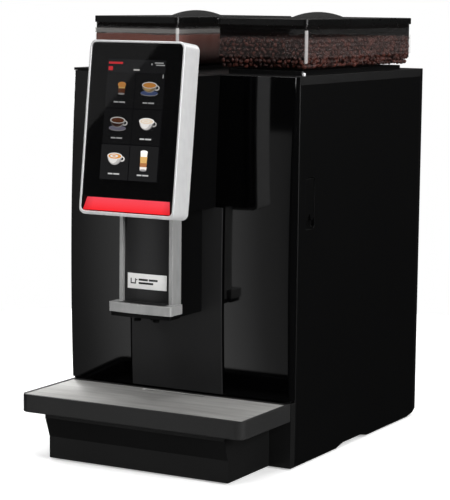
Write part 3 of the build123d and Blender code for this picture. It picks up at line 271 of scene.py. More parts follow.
def buildEdgeGroup(look):
    group, entry, leave = startGroup(
        "softEdges",
        [("Radius", "NodeSocketFloat", 0.0008)],
        [("Edge", "NodeSocketFloat"), ("Normal", "NodeSocketVector")],
    )
    bevel = group.nodes.new("ShaderNodeBevel")
    bevel.samples = look["bevelSamples"]
    flat = group.nodes.new("ShaderNodeNewGeometry")
    dot = group.nodes.new("ShaderNodeVectorMath")
    dot.operation = "DOT_PRODUCT"
    group.links.new(entry["Radius"], bevel.inputs["Radius"])
    group.links.new(bevel.outputs["Normal"], dot.inputs[0])
    group.links.new(flat.outputs["Normal"], dot.inputs[1])
    lost = mathNode(group, "SUBTRACT", 1.0, dot.outputs["Value"])
    group.links.new(mathNode(group, "MULTIPLY", lost, look["edgeGain"], clamp=True), leave["Edge"])
    group.links.new(bevel.outputs["Normal"], leave["Normal"])
    return group


def buildDustGroup(look):
    group, entry, leave = startGroup(
        "settledDust",
        [("Vector", "NodeSocketVector", None), ("Amount", "NodeSocketFloat", 0.1)],
        [("Dust", "NodeSocketFloat")],
    )
    flat = group.nodes.new("ShaderNodeNewGeometry")
    split = group.nodes.new("ShaderNodeSeparateXYZ")
    group.links.new(flat.outputs["Normal"], split.inputs[0])
    speck = noiseNode(group, entry["Vector"], look["speckScale"], look["speckDetail"])
    facing = mathNode(group, "MULTIPLY", split.outputs["Z"], 1.0, clamp=True)
    patchy = mathNode(group, "MULTIPLY", speck, facing)
    group.links.new(mathNode(group, "MULTIPLY", patchy, entry["Amount"]), leave["Dust"])
    return group


def buildBrushGroup(look):
    group, entry, leave = startGroup(
        "brushStreaks",
        [("Vector", "NodeSocketVector", None), ("Scale", "NodeSocketFloat", 900.0)],
        [("Streak", "NodeSocketFloat"), ("Band", "NodeSocketFloat")],
    )
    wideScale = mathNode(group, "MULTIPLY", entry["Scale"], look["bandShare"])
    group.links.new(noiseNode(group, entry["Vector"], entry["Scale"], look["streakDetail"]), leave["Streak"])
    group.links.new(noiseNode(group, entry["Vector"], wideScale, look["bandDetail"]), leave["Band"])
    return group


grainGroup = buildGrainGroup(groupLook)
edgeGroup = buildEdgeGroup(groupLook)
dustGroup = buildDustGroup(groupLook)
brushGroup = buildBrushGroup(groupLook)


def newFinish(name):
    mat = bpy.data.materials.new(name)
    mat.use_nodes = True
    tree = mat.node_tree
    return mat, tree, tree.nodes["Principled BSDF"]


def placeGroup(tree, group, **values):
    node = tree.nodes.new("ShaderNodeGroup")
    node.node_tree = group
    for key, value in values.items():
        feed(tree, value, node.inputs[key])
    return node.outputs


def objectVector(tree, stretch=(1, 1, 1)):
    coords = tree.nodes.new("ShaderNodeTexCoord")
    mapping = tree.nodes.new("ShaderNodeMapping")
    mapping.inputs["Scale"].default_value = stretch
    tree.links.new(coords.outputs["Object"], mapping.inputs["Vector"])
    return mapping.outputs["Vector"]


def splitVector(tree):
    split = tree.nodes.new("ShaderNodeSeparateXYZ")
    tree.links.new(objectVector(tree), split.inputs[0])
    return split.outputs


def scaleColor(tree, color, amount):
    scaled = tree.nodes.new("ShaderNodeVectorMath")
    scaled.operation = "SCALE"
    tree.links.new(color, scaled.inputs[0])
    tree.links.new(amount, scaled.inputs["Scale"])
    return scaled.outputs["Vector"]


def attributeNode(tree, name):
    node = tree.nodes.new("ShaderNodeAttribute")
    node.attribute_name = name
    return node.outputs


def blendColors(tree, mask, low, high):
    mix = tree.nodes.new("ShaderNodeMix")
    mix.data_type = "RGBA"
    tree.links.new(mask, mix.inputs["Factor"])
    feed(tree, low, mix.inputs["A"])
    feed(tree, high, mix.inputs["B"])
    return mix.outputs["Result"]


def mapValue(tree, value, low, high, fromLow=0.3, fromHigh=0.7):
    node = tree.nodes.new("ShaderNodeMapRange")
    node.inputs["From Min"].default_value = fromLow
    node.inputs["From Max"].default_value = fromHigh
    node.inputs["To Min"].default_value = low
    node.inputs["To Max"].default_value = high
    tree.links.new(value, node.inputs["Value"])
    return node.outputs["Result"]


def bumpFrom(tree, shader, height, depth, normal=None, distance=0.0002):
    bump = tree.nodes.new("ShaderNodeBump")
    bump.inputs["Strength"].default_value = depth
    bump.inputs["Distance"].default_value = distance
    tree.links.new(height, bump.inputs["Height"])
    if normal is not None:
        tree.links.new(normal, bump.inputs["Normal"])
    tree.links.new(bump.outputs["Normal"], shader.inputs["Normal"])


# finishes: each takes its own values over the common ones
# in moulded finishes the edge tone is a painted highlight along the rounded edges
mouldBase = {
    "grain": 1500.0, "cloud": 9.0, "edgeRadius": 0.0009, "edgeHighlight": 0.25, "dust": 0.1,
    "dustTone": (0.35, 0.33, 0.31), "bump": 0.15, "metallic": 0.0, "ior": 1.45, "shine": 0.5,
}
brushBase = {
    "scale": 900.0, "edgeRadius": 0.0006, "bump": 0.12, "bumpDepth": 0.0001, "metallic": 1.0,
    "anisotropic": 0.4,
}
lacquerBase = {
    "grain": 2600.0, "cloud": 14.0, "edgeRadius": 0.0008, "dust": 0.06, "dustTone": (0.3, 0.29, 0.28),
    "bump": 0.02, "bumpDepth": 0.0005, "ior": 1.4, "shine": 0.5,
}


def mouldedFinish(name, own):        # moulded, painted and cast surfaces
    look = {**mouldBase, **own}
    mat, tree, shader = newFinish(name)
    vector = objectVector(tree)
    grain = placeGroup(tree, grainGroup, Vector=vector, Scale=look["grain"], Cloud=look["cloud"])
    edges = placeGroup(tree, edgeGroup, Radius=look["edgeRadius"])
    dust = placeGroup(tree, dustGroup, Vector=vector, Amount=look["dust"])
    base = blendColors(tree, grain["Cloud"], look["dark"], look["light"])
    # painted highlight: the rounded edges are lightened towards the edge tone, as if catching the light
    edgeHighlight = mathNode(tree, "MULTIPLY", edges["Edge"], look["edgeHighlight"])
    edgeLit = blendColors(tree, edgeHighlight, base, look["edge"])
    tree.links.new(blendColors(tree, dust["Dust"], edgeLit, look["dustTone"]), shader.inputs["Base Color"])
    rough = mapValue(tree, grain["Grain"], *look["rough"])
    tree.links.new(mathNode(tree, "ADD", rough, dust["Dust"]), shader.inputs["Roughness"])
    bumpFrom(tree, shader, grain["Grain"], look["bump"], edges["Normal"])
    shader.inputs["Metallic"].default_value = look["metallic"]
    shader.inputs["IOR"].default_value = look["ior"]
    shader.inputs["Specular IOR Level"].default_value = look["shine"]
    return mat


def brushedFinish(name, own):        # metals with a grain that runs one way
    look = {**brushBase, **own}
    mat, tree, shader = newFinish(name)
    brush = placeGroup(tree, brushGroup, Vector=objectVector(tree, look["stretch"]), Scale=look["scale"])
    edges = placeGroup(tree, edgeGroup, Radius=look["edgeRadius"])
    tone = blendColors(tree, brush["Band"], look["dark"], look["light"])
    # painted highlight: the rounded edges are lightened towards the edge tone
    tree.links.new(blendColors(tree, edges["Edge"], tone, look["edge"]), shader.inputs["Base Color"])
    tree.links.new(mapValue(tree, brush["Streak"], *look["rough"]), shader.inputs["Roughness"])
    bumpFrom(tree, shader, brush["Streak"], look["bump"], edges["Normal"], look["bumpDepth"])
    shader.inputs["Metallic"].default_value = look["metallic"]
    shader.inputs["Anisotropic"].default_value = look["anisotropic"]
    return mat


def lacquerFinish(name, own):        # polished piano black with faint wiping haze
    look = {**lacquerBase, **own}
    mat, tree, shader = newFinish(name)
    vector = objectVector(tree)
    grain = placeGroup(tree, grainGroup, Vector=vector, Scale=look["grain"], Cloud=look["cloud"])
    edges = placeGroup(tree, edgeGroup, Radius=look["edgeRadius"])
    dust = placeGroup(tree, dustGroup, Vector=vector, Amount=look["dust"])
    base = blendColors(tree, grain["Cloud"], look["dark"], look["light"])
    tree.links.new(blendColors(tree, dust["Dust"], base, look["dustTone"]), shader.inputs["Base Color"])
    tree.links.new(mapValue(tree, grain["Cloud"], *look["rough"]), shader.inputs["Roughness"])
    bumpFrom(tree, shader, grain["Cloud"], look["bump"], edges["Normal"], look["bumpDepth"])
    shader.inputs["IOR"].default_value = look["ior"]
    shader.inputs["Specular IOR Level"].default_value = look["shine"]
    return mat


black = {"dark": (0.0008, 0.0008, 0.0009), "light": (0.0015, 0.0015, 0.0016), "edge": (0.008, 0.008, 0.008)}
shellBlack = mouldedFinish("shellBlack", {
    **black, "rough": (0.34, 0.46), "shine": 0.24, "bump": 0.1, "dust": 0.008})
trayBlack = mouldedFinish("trayBlack", {
    "dark": (0.012, 0.012, 0.012), "light": (0.019, 0.019, 0.019), "edge": (0.05, 0.05, 0.05),
    "rough": (0.34, 0.46), "shine": 0.32, "bump": 0.1, "dust": 0.03})
baseBlack = mouldedFinish("baseBlack", {
    "dark": (0.004, 0.004, 0.004), "light": (0.007, 0.007, 0.007), "edge": (0.03, 0.03, 0.03),
    "rough": (0.36, 0.48), "shine": 0.3, "bump": 0.1, "dust": 0.02})
panelBlack = mouldedFinish("panelBlack", {
    "dark": (0.011, 0.011, 0.0115), "light": (0.015, 0.015, 0.0155), "edge": (0.03, 0.03, 0.03),
    "rough": (0.5, 0.62), "bump": 0.2, "dust": 0.02})
spoutDark = mouldedFinish("spoutDark", {
    "dark": (0.009, 0.009, 0.0095), "light": (0.013, 0.013, 0.014), "edge": (0.03, 0.03, 0.03),
    "rough": (0.26, 0.36), "bump": 0.06, "dust": 0.02})
doorLacquer = lacquerFinish("doorLacquer", {
    "dark": (0.0005, 0.0005, 0.0006), "light": (0.0009, 0.0009, 0.001), "rough": (0.045, 0.075), "ior": 1.42,
    "dust": 0.004})
lidLacquer = lacquerFinish("lidLacquer", {
    "dark": (0.0025, 0.0025, 0.0025), "light": (0.004, 0.004, 0.004), "rough": (0.22, 0.32), "dust": 0.04,
    "shine": 0.4})
coreBlack = lacquerFinish("coreBlack", {
    "dark": (0.001, 0.001, 0.001), "light": (0.0015, 0.0015, 0.0015), "rough": (0.3, 0.4), "dust": 0.01,
    "shine": 0.15})
nozzleRubber = mouldedFinish("nozzleRubber", {**black, "rough": (0.6, 0.75), "grain": 900.0, "bump": 0.3})
footRubber = mouldedFinish("footRubber", {
    "dark": (0.012, 0.012, 0.012), "light": (0.02, 0.02, 0.02), "edge": (0.05, 0.05, 0.05),
    "rough": (0.7, 0.85), "grain": 700.0, "bump": 0.4})
rearCoat = mouldedFinish("rearCoat", {
    "dark": (0.014, 0.014, 0.015), "light": (0.022, 0.022, 0.023), "edge": (0.08, 0.08, 0.08),
    "rough": (0.5, 0.7), "grain": 1100.0, "bump": 0.6})
mechanismGrey = mouldedFinish("mechanismGrey", {
    "dark": (0.05, 0.05, 0.052), "light": (0.075, 0.075, 0.078), "edge": (0.15, 0.15, 0.15),
    "rough": (0.4, 0.55)})
motorCan = mouldedFinish("motorCan", {
    "dark": (0.14, 0.145, 0.15), "light": (0.2, 0.205, 0.21), "edge": (0.4, 0.4, 0.4),
    "rough": (0.35, 0.5), "metallic": 0.6})
grinderCast = mouldedFinish("grinderCast", {
    "dark": (0.2, 0.2, 0.205), "light": (0.3, 0.3, 0.305), "edge": (0.6, 0.6, 0.6),
    "rough": (0.3, 0.55), "grain": 600.0, "bump": 0.5, "metallic": 0.9})
boardGreen = mouldedFinish("boardGreen", {
    "dark": (0.01, 0.07, 0.03), "light": (0.02, 0.12, 0.05), "edge": (0.25, 0.2, 0.08),
    "rough": (0.3, 0.4), "cloud": 180.0})
silverCast = brushedFinish("silverCast", {
    "dark": (0.68, 0.68, 0.685), "light": (0.80, 0.80, 0.80), "edge": (0.88, 0.88, 0.88),
    "rough": (0.38, 0.5), "stretch": (1, 1, 0.6), "scale": 1100.0, "bump": 0.08, "anisotropic": 0.1,
    "metallic": 0.45})
silverSatin = brushedFinish("silverSatin", {
    "dark": (0.40, 0.402, 0.40), "light": (0.55, 0.55, 0.545), "edge": (0.78, 0.78, 0.77),
    "rough": (0.34, 0.46), "stretch": (1, 1, 0.3), "scale": 1100.0, "bump": 0.08, "anisotropic": 0.1,
    "metallic": 0.6})
grillePlate = brushedFinish("grillePlate", {
    "dark": (0.40, 0.395, 0.38), "light": (0.78, 0.77, 0.75), "edge": (0.8, 0.8, 0.79),
    "rough": (0.36, 0.5), "stretch": (0.12, 1, 1), "scale": 900.0, "bump": 0.2, "metallic": 0.6})
labelMetal = brushedFinish("labelMetal", {
    "dark": (0.86, 0.855, 0.84), "light": (0.97, 0.96, 0.95), "edge": (0.97, 0.97, 0.97),
    "rough": (0.35, 0.45), "stretch": (0.05, 1, 1), "scale": 1500.0, "metallic": 0.15})
platedSheet = brushedFinish("platedSheet", {
    "dark": (0.45, 0.46, 0.47), "light": (0.62, 0.63, 0.64), "edge": (0.8, 0.8, 0.8),
    "rough": (0.3, 0.5), "stretch": (1, 1, 1), "scale": 160.0, "anisotropic": 0.0})
boilerShell = brushedFinish("boilerShell", {
    "dark": (0.5, 0.5, 0.51), "light": (0.7, 0.7, 0.71), "edge": (0.85, 0.85, 0.85),
    "rough": (0.22, 0.36), "stretch": (1, 1, 0.04)})
brassTurned = brushedFinish("brassTurned", {
    "dark": (0.55, 0.38, 0.14), "light": (0.75, 0.55, 0.25), "edge": (0.9, 0.75, 0.4),
    "rough": (0.25, 0.4), "stretch": (1, 0.05, 1)})


def faceGlassFinish(look):        # tinted sheet over the display: mostly see-through, glossy
    mat, tree, shader = newFinish("faceGlass")
    grain = placeGroup(tree, grainGroup, Vector=objectVector(tree), Scale=look["grain"], Cloud=look["cloud"])
    tone = blendColors(tree, grain["Cloud"], look["dark"], look["light"])
    tree.links.new(tone, shader.inputs["Base Color"])
    tree.links.new(mapValue(tree, grain["Cloud"], *look["rough"]), shader.inputs["Roughness"])
    tree.links.new(mapValue(tree, grain["Cloud"], *look["alpha"]), shader.inputs["Alpha"])
    shader.inputs["IOR"].default_value = look["ior"]
    return mat


faceGlass = faceGlassFinish({
    "dark": (0.003, 0.003, 0.0032), "light": (0.0045, 0.0045, 0.0048), "rough": (0.015, 0.03),
    "alpha": (0.50, 0.52), "grain": 1800.0, "cloud": 20.0, "ior": 1.5})


def barGlowFinish(look):        # red diffuser, paler along its upper, sunken edge and dimmer at its ends
    mat, tree, shader = newFinish("barGlow")
    low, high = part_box("light_bar")
    split = splitVector(tree)
    rise = mapValue(tree, split["Z"], 0.0, 1.0, low[2], high[2])
    outward = mathNode(tree, "ABSOLUTE", split["X"])
    across = mapValue(tree, outward, 1.0, look["endDim"], look["endShare"] * high[0], high[0])
    grain = placeGroup(tree, grainGroup, Vector=objectVector(tree), Scale=look["grain"], Cloud=look["cloud"])
    tone = blendColors(tree, rise, look["low"], look["high"])
    patches = mathNode(tree, "MULTIPLY", grain["Cloud"], look["cloudShare"])
    cloudy = blendColors(tree, patches, tone, look["mid"])
    tree.links.new(scaleColor(tree, cloudy, across), shader.inputs["Emission Color"])
    tree.links.new(blendColors(tree, grain["Grain"], *look["base"]), shader.inputs["Base Color"])
    tree.links.new(mapValue(tree, grain["Grain"], *look["rough"]), shader.inputs["Roughness"])
    shader.inputs["Specular IOR Level"].default_value = look["shine"]
    shader.inputs["Emission Strength"].default_value = look["strength"]
    return mat


barGlow = barGlowFinish({
    "low": (0.90, 0.008, 0.012), "mid": (0.95, 0.02, 0.03), "high": (0.95, 0.085, 0.12),
    "base": ((0.05, 0.0, 0.0), (0.08, 0.001, 0.001)), "rough": (0.5, 0.65), "shine": 0.08, "strength": 0.98,
    "endShare": 0.8, "endDim": 0.72, "grain": 1200.0, "cloud": 30.0, "cloudShare": 0.25})


def roundedDepth(tree, split, low, high, corner):        # how far a point is outside the upright rounded box
    away = []
    for axis, key in ((0, "X"), (1, "Y")):
        offset = mathNode(tree, "SUBTRACT", split[key], (low[axis] + high[axis]) / 2)
        reach = (high[axis] - low[axis]) / 2 - corner
        away.append(mathNode(tree, "SUBTRACT", mathNode(tree, "ABSOLUTE", offset), reach))
    beyond = [mathNode(tree, "POWER", mathNode(tree, "MAXIMUM", value, 0.0), 2.0) for value in away]
    bend = mathNode(tree, "SQRT", mathNode(tree, "ADD", *beyond))
    flat = mathNode(tree, "MINIMUM", mathNode(tree, "MAXIMUM", *away), 0.0)
    return mathNode(tree, "SUBTRACT", mathNode(tree, "ADD", bend, flat), corner)


def cornerGlintMask(tree, split, low, high, look):        # painted highlight: the front right corner, up to just under the rim
    glint, core = look["glint"], look["glint"] * look["glintCore"]
    alongX = mapValue(tree, split["X"], 0.0, 1.0, high[0] - glint, high[0] - core)
    alongY = mapValue(tree, split["Y"], 1.0, 0.0, low[1] + core, low[1] + glint)
    below = mathNode(tree, "LESS_THAN", split["Z"], high[2] - look["glintEnd"])
    return mathNode(tree, "MULTIPLY", mathNode(tree, "MULTIPLY", alongX, alongY), below)


def bandMask(tree, split, fillTop, levels):        # full between the middle two levels
    rising = mapValue(tree, split["Z"], 0.0, 1.0, fillTop + levels[0], fillTop + levels[1])
    falling = mapValue(tree, split["Z"], 1.0, 0.0, fillTop + levels[2], fillTop + levels[3])
    return mathNode(tree, "MULTIPLY", rising, falling)


def clearMouldFinish(name, node, fill, look):        # clear plastic outside, painted shade on the inner faces: a dark, nearly opaque sheet above the shoulder
    mat, tree, shader = newFinish(name)
    low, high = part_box(node)
    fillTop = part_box(fill)[1][2]
    split = splitVector(tree)
    grain = placeGroup(tree, grainGroup, Vector=objectVector(tree), Scale=look["grain"], Cloud=look["cloud"])
    edges = placeGroup(tree, edgeGroup, Radius=look["edgeRadius"])
    depth = roundedDepth(tree, split, low, high, look["corner"])
    inside = mathNode(tree, "LESS_THAN", depth, -look["wall"] / 2)
    outer = mathNode(tree, "SUBTRACT", 1.0, inside)
    upper = mathNode(tree, "GREATER_THAN", split["Z"], low[2] + look["shoulder"])
    # painted shade: the walls' inner faces above the shoulder turn dark and nearly opaque, for the hopper's
    # shaded inside
    innerShade = mathNode(tree, "MULTIPLY", inside, upper)
    tint = blendColors(tree, grain["Cloud"], look["dark"], look["light"])
    solid = mathNode(tree, "MULTIPLY", innerShade, look["innerShadeAlpha"])
    if "band" in look:        # a pale misted band on the outer face, just over the fill
        band = mathNode(tree, "MULTIPLY", bandMask(tree, split, fillTop, look["band"]), outer)
        band = mathNode(tree, "MULTIPLY", band, look["bandAlpha"])
        tint = blendColors(tree, band, tint, look["bandTone"])
        solid = mathNode(tree, "MAXIMUM", solid, band)
    tree.links.new(blendColors(tree, innerShade, tint, look["innerShade"]), shader.inputs["Base Color"])
    haze = mapValue(tree, split["Z"], *look["alpha"], low[2] + look["haze"][0], low[2] + look["haze"][1])
    cleared = mapValue(tree, split["Z"], 1.0, look["voidHaze"], fillTop, fillTop + look["voidRise"])
    rim = mathNode(tree, "MULTIPLY", edges["Edge"], look["edgeAlpha"])
    hazy = mathNode(tree, "ADD", mathNode(tree, "MULTIPLY", haze, cleared), rim)
    # painted highlight: the front right corner glows as a bright streak, standing in for a reflection of the
    # lamps
    glint = mathNode(tree, "MULTIPLY", cornerGlintMask(tree, split, low, high, look), outer)
    glow = blendColors(tree, glint, (0.0, 0.0, 0.0), look["glintGlow"])
    tree.links.new(glow, shader.inputs["Emission Color"])
    shader.inputs["Emission Strength"].default_value = 1.0
    alpha = mathNode(tree, "MAXIMUM", hazy, solid)
    alpha = mathNode(tree, "MAXIMUM", alpha, mathNode(tree, "MULTIPLY", glint, look["glintAlpha"]))
    # light reaches the fill through the walls, and their far faces stay out of sight
    side = tree.nodes.new("ShaderNodeNewGeometry")
    rays = tree.nodes.new("ShaderNodeLightPath")
    passed = mathNode(tree, "MAXIMUM", side.outputs["Backfacing"], rays.outputs["Is Shadow Ray"])
    shown = mathNode(tree, "SUBTRACT", 1.0, passed)
    tree.links.new(mathNode(tree, "MULTIPLY", alpha, shown, clamp=True), shader.inputs["Alpha"])
    tree.links.new(mapValue(tree, grain["Cloud"], *look["rough"]), shader.inputs["Roughness"])
    bumpFrom(tree, shader, grain["Cloud"], look["bump"], edges["Normal"], look["bumpDepth"])
    return mat


mouldLook = {
    "wall": 0.0025,
    "corner": 0.006,
    "shoulder": 0.011,        # the walls draw in below this height
    "dark": (0.10, 0.085, 0.082),
    "light": (0.13, 0.11, 0.107),
    "rough": (0.06, 0.14),
    "alpha": (0.02, 0.19),
    "haze": (0.0165, 0.0180),        # heights between which the haze comes in
    "voidHaze": 0.1,        # how much of it stays over the fill
    "voidRise": 0.003,
    "edgeAlpha": 0.1,
    # painted shade on the walls' inner faces: its tone and opacity
    "innerShade": (0.004, 0.004, 0.004),
    "innerShadeAlpha": 0.985,
    # a painted highlight along the front right corner: its width, core share, gap under the rim, glow and
    # opacity
    "glint": 0.0045,
    "glintCore": 0.7,
    "glintEnd": 0.006,
    "glintGlow": (0.30, 0.30, 0.30),
    "glintAlpha": 0.9,
    "grain": 900.0,
    "cloud": 12.0,
    "edgeRadius": 0.0012,
    "bump": 0.03,
    "bumpDepth": 0.0006,
}
powderLook = {
    **mouldLook,
    "alpha": (0.02, 0.10),
    "voidHaze": 0.35,
    "band": (-0.0012, 0.0004, 0.0052, 0.0072),
    "bandAlpha": 0.75,
    "bandTone": (0.26, 0.255, 0.245),
}
clearMouldLeft = clearMouldFinish("clearMouldLeft", "hopper_left", "powder_fill", powderLook)
clearMouldRight = clearMouldFinish("clearMouldRight", "hopper_right", "bean_fill", mouldLook)

displayLook = {
    "grain": 2400.0,
    "cloud": 40.0,
    "base": ((0.003, 0.003, 0.004), (0.006, 0.006, 0.007)),
    "glow": ((0.003, 0.003, 0.004), (0.005, 0.005, 0.006)),
    "rough": 0.9,
    "shine": 0.1,
    "inkBase": (0.004, 0.004, 0.004),
    "inkStrength": 1.25,
    "dots": 2200.0,
    "dotDetail": 2.0,
    "dotRange": (0.9, 1.1),
}


def displayFinish(look):        # the dark lit panel behind the picture
    mat, tree, shader = newFinish("displayPanel")
    grain = placeGroup(tree, grainGroup, Vector=objectVector(tree), Scale=look["grain"], Cloud=look["cloud"])
    tree.links.new(blendColors(tree, grain["Grain"], *look["base"]), shader.inputs["Base Color"])
    tree.links.new(blendColors(tree, grain["Cloud"], *look["glow"]), shader.inputs["Emission Color"])
    shader.inputs["Emission Strength"].default_value = 1.0
    shader.inputs["Roughness"].default_value = look["rough"]
    shader.inputs["Specular IOR Level"].default_value = look["shine"]
    return mat


def displayInkFinish(look):        # the picture's colours come from the piece's own attribute
    mat, tree, shader = newFinish("displayInk")
    dots = noiseNode(tree, objectVector(tree), look["dots"], look["dotDetail"])
    speckle = mapValue(tree, dots, *look["dotRange"])
    lit = scaleColor(tree, attributeNode(tree, "ink")["Color"], speckle)
    tree.links.new(lit, shader.inputs["Emission Color"])
    shader.inputs["Emission Strength"].default_value = look["inkStrength"]
    shader.inputs["Base Color"].default_value = (*look["inkBase"], 1)
    shader.inputs["Roughness"].default_value = look["rough"]
    shader.inputs["Specular IOR Level"].default_value = look["shine"]
    return mat


displayPanel = displayFinish(displayLook)
displayInk = displayInkFinish(displayLook)
markInk = mouldedFinish("markInk", {
    "dark": (0.010, 0.010, 0.010), "light": (0.016, 0.016, 0.016), "edge": (0.02, 0.02, 0.02),
    "rough": (0.4, 0.5), "shine": 0.3, "dust": 0.02})


def beanFinish(look):        # each roasted bean has its own tone, from the piece's attribute
    mat, tree, shader = newFinish("roastedBean")
    grain = placeGroup(tree, grainGroup, Vector=objectVector(tree), Scale=look["grain"], Cloud=look["cloud"])
    base = blendColors(tree, attributeNode(tree, "tone")["Fac"], look["dark"], look["light"])
    patches = mathNode(tree, "MULTIPLY", grain["Cloud"], look["seamShare"])
    tree.links.new(blendColors(tree, patches, base, look["seam"]), shader.inputs["Base Color"])
    tree.links.new(mapValue(tree, grain["Grain"], *look["rough"]), shader.inputs["Roughness"])
    shader.inputs["Specular IOR Level"].default_value = look["shine"]
    bumpFrom(tree, shader, grain["Grain"], look["bump"])
    return mat


roastedBean = beanFinish({
    "dark": (0.014, 0.004, 0.003), "light": (0.088, 0.021, 0.013), "seam": (0.02, 0.005, 0.003),
    "seamShare": 0.4, "grain": 700.0, "cloud": 260.0, "rough": (0.45, 0.6), "shine": 0.3, "bump": 0.3})


def powderFinish(look):
    mat, tree, shader = newFinish("cocoaPowder")
    grain = placeGroup(tree, grainGroup, Vector=objectVector(tree), Scale=look["grain"], Cloud=look["cloud"])
    base = blendColors(tree, grain["Cloud"], look["dark"], look["light"])
    specks = mathNode(tree, "MULTIPLY", grain["Grain"], look["speckShare"])
    tree.links.new(blendColors(tree, specks, base, look["speck"]), shader.inputs["Base Color"])
    shader.inputs["Roughness"].default_value = look["rough"]
    shader.inputs["Sheen Weight"].default_value = look["sheen"]
    bumpFrom(tree, shader, grain["Grain"], look["bump"], distance=look["bumpDepth"])
    return mat


cocoaPowder = powderFinish({
    "dark": (0.12, 0.028, 0.016), "light": (0.19, 0.050, 0.031), "speck": (0.08, 0.020, 0.012),
    "speckShare": 0.4, "grain": 1400.0, "cloud": 60.0, "rough": 0.95, "sheen": 0.2, "bump": 0.8,
    "bumpDepth": 0.0006})

finishNodes = (
    (shellBlack, ("left_side_panel", "right_side_panel", "latch_lever", "top_deck", "neck_housing",
                  "head_rear_cover", "spout_body", "hinge_brackets", "hopper_plinths")),
    (trayBlack, ("drip_tray",)),
    (baseBlack, ("tray_base",)),
    (panelBlack, ("door_centre_panel",)),
    (doorLacquer, ("front_door",)),
    (lidLacquer, ("hopper_lid_left", "hopper_lid_right")),
    (coreBlack, ("head_core",)),
    (silverCast, ("head_frame",)),
    (silverSatin, ("spout_frame",)),
    (spoutDark, ("spout_front_panel",)),
    (labelMetal, ("label_plate",)),
    (nozzleRubber, ("dispense_nozzles",)),
    (grillePlate, ("drip_grille",)),
    (faceGlass, ("screen_glass",)),
    (displayPanel, ("display_panel",)),
    (barGlow, ("light_bar",)),
    (clearMouldLeft, ("hopper_left",)),
    (clearMouldRight, ("hopper_right",)),
    (footRubber, ("rubber_feet",)),
    (platedSheet, ("base_pan", "chassis_frame", "equipment_shelf", "hinge_pins", "latch_pin", "rear_screws",
                   "mixer_stand")),
    (rearCoat, ("rear_panel", "mains_inlet")),
    (mechanismGrey, ("grounds_bin", "brew_unit_frame", "brew_chamber", "brew_piston", "bean_throat",
                     "powder_dispenser", "powder_auger", "mixing_bowl", "whipper", "fan_housing", "fan_rotor",
                     "power_rocker")),
    (motorCan, ("grinder_motor", "auger_motor", "mixer_motor", "water_pump")),
    (grinderCast, ("grinder_body", "grinding_burr")),
    (boilerShell, ("boiler",)),
    (brassTurned, ("water_inlet",)),
    (boardGreen, ("control_board",)),
)
for finish, nodeNames in finishNodes:
    for nodeName in nodeNames:
        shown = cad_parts[nodeName]
        if not shown.material_slots:
            shown.data.materials.append(finish)
        for slot in shown.material_slots:
            slot.material = finish
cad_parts["drip_grille"].visible_glossy = False        # its bright plate stays out of the door's gloss
print("finishes on", sum(len(nodeNames) for finish, nodeNames in finishNodes), "nodes")


# new pieces
def addPiece(name, bm, finish, body, smooth=False):
    mesh = bpy.data.meshes.new(name)
    bm.to_mesh(mesh)
    bm.free()
    for polygon in mesh.polygons:
        polygon.use_smooth = smooth
    mesh.materials.append(finish)
    piece = bpy.data.objects.new(name, mesh)
    bpy.context.scene.collection.objects.link(piece)
    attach(piece, body)
    return piece


# the head leans back, so its picture is drawn flat and then stood up against the display
displayPlace = {
    "lean": math.radians(7.04),
    "height": 0.1542,        # along the leaning face
    "thick": 0.0044,
    "lift": 0.0003,        # the first layer's gap to the display
}


def displayMatrix(place):
    lean = place["lean"]
    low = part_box("display_panel")[0]
    faceUp = Vector((0, math.sin(lean), math.cos(lean)))
    faceOut = Vector((0, -math.cos(lean), math.sin(lean)))
    axes = Matrix((Vector((1, 0, 0)), faceUp, faceOut)).transposed().to_4x4()
    corner = (0, low[1], low[2] + place["thick"] * math.sin(lean))        # the front face's lower edge
    return Matrix.Translation(corner) @ axes @ Matrix.Translation((0, 0, place["lift"]))


inkTones = {
    "header": (0.010, 0.010, 0.011),
    "tile": (0.0055, 0.0055, 0.006),
    "white": (0.62, 0.60, 0.58),
    "shade": (0.26, 0.25, 0.25),
    "red": (0.75, 0.03, 0.04),
    "caption": (0.42, 0.42, 0.42),
    "coffee": (0.10, 0.03, 0.012),
    "crema": (0.58, 0.24, 0.05),
    "froth": (0.60, 0.50, 0.40),
    "amber": (0.60, 0.36, 0.12),
    "milk": (0.75, 0.70, 0.66),
    "mocha": (0.35, 0.14, 0.05),
    "cream": (0.85, 0.80, 0.74),
    "rim": (0.9, 0.88, 0.85),
}
picture = {
    "layer": 0.00004,
    "margin": 0.0004,
    "header": 0.110,        # share of the display's height
    "rows": 3,
    "gap": 0.0007,
    "drinkDrop": 0.42,        # from a tile's upper edge, as a share of its height
    # header strokes: side, left and right end from it, top and bottom below the upper edge, tone
    "strokes": ((-1, 0.001, 0.022, 0.0036, 0.0062, "red"),
                (-1, 0.001, 0.0075, 0.0095, 0.0145, "red"),
                (1, -0.016, -0.003, 0.0030, 0.0045, "caption"),
                (1, -0.014, -0.001, 0.0058, 0.0072, "caption")),
    "dot": (0.020, 0.0055, 0.0011, 0.0014),
    "title": (0, -0.004, 0.005, 0.0122, 0.0142, "white"),
    "captionRuns": ((-0.0085, -0.0015), (-0.0004, 0.0085)),
    "captionLow": 0.0072,
    "captionHigh": 0.0090,
    "scroll": (0.0012, 0.0004, 0.006, 0.001),
}
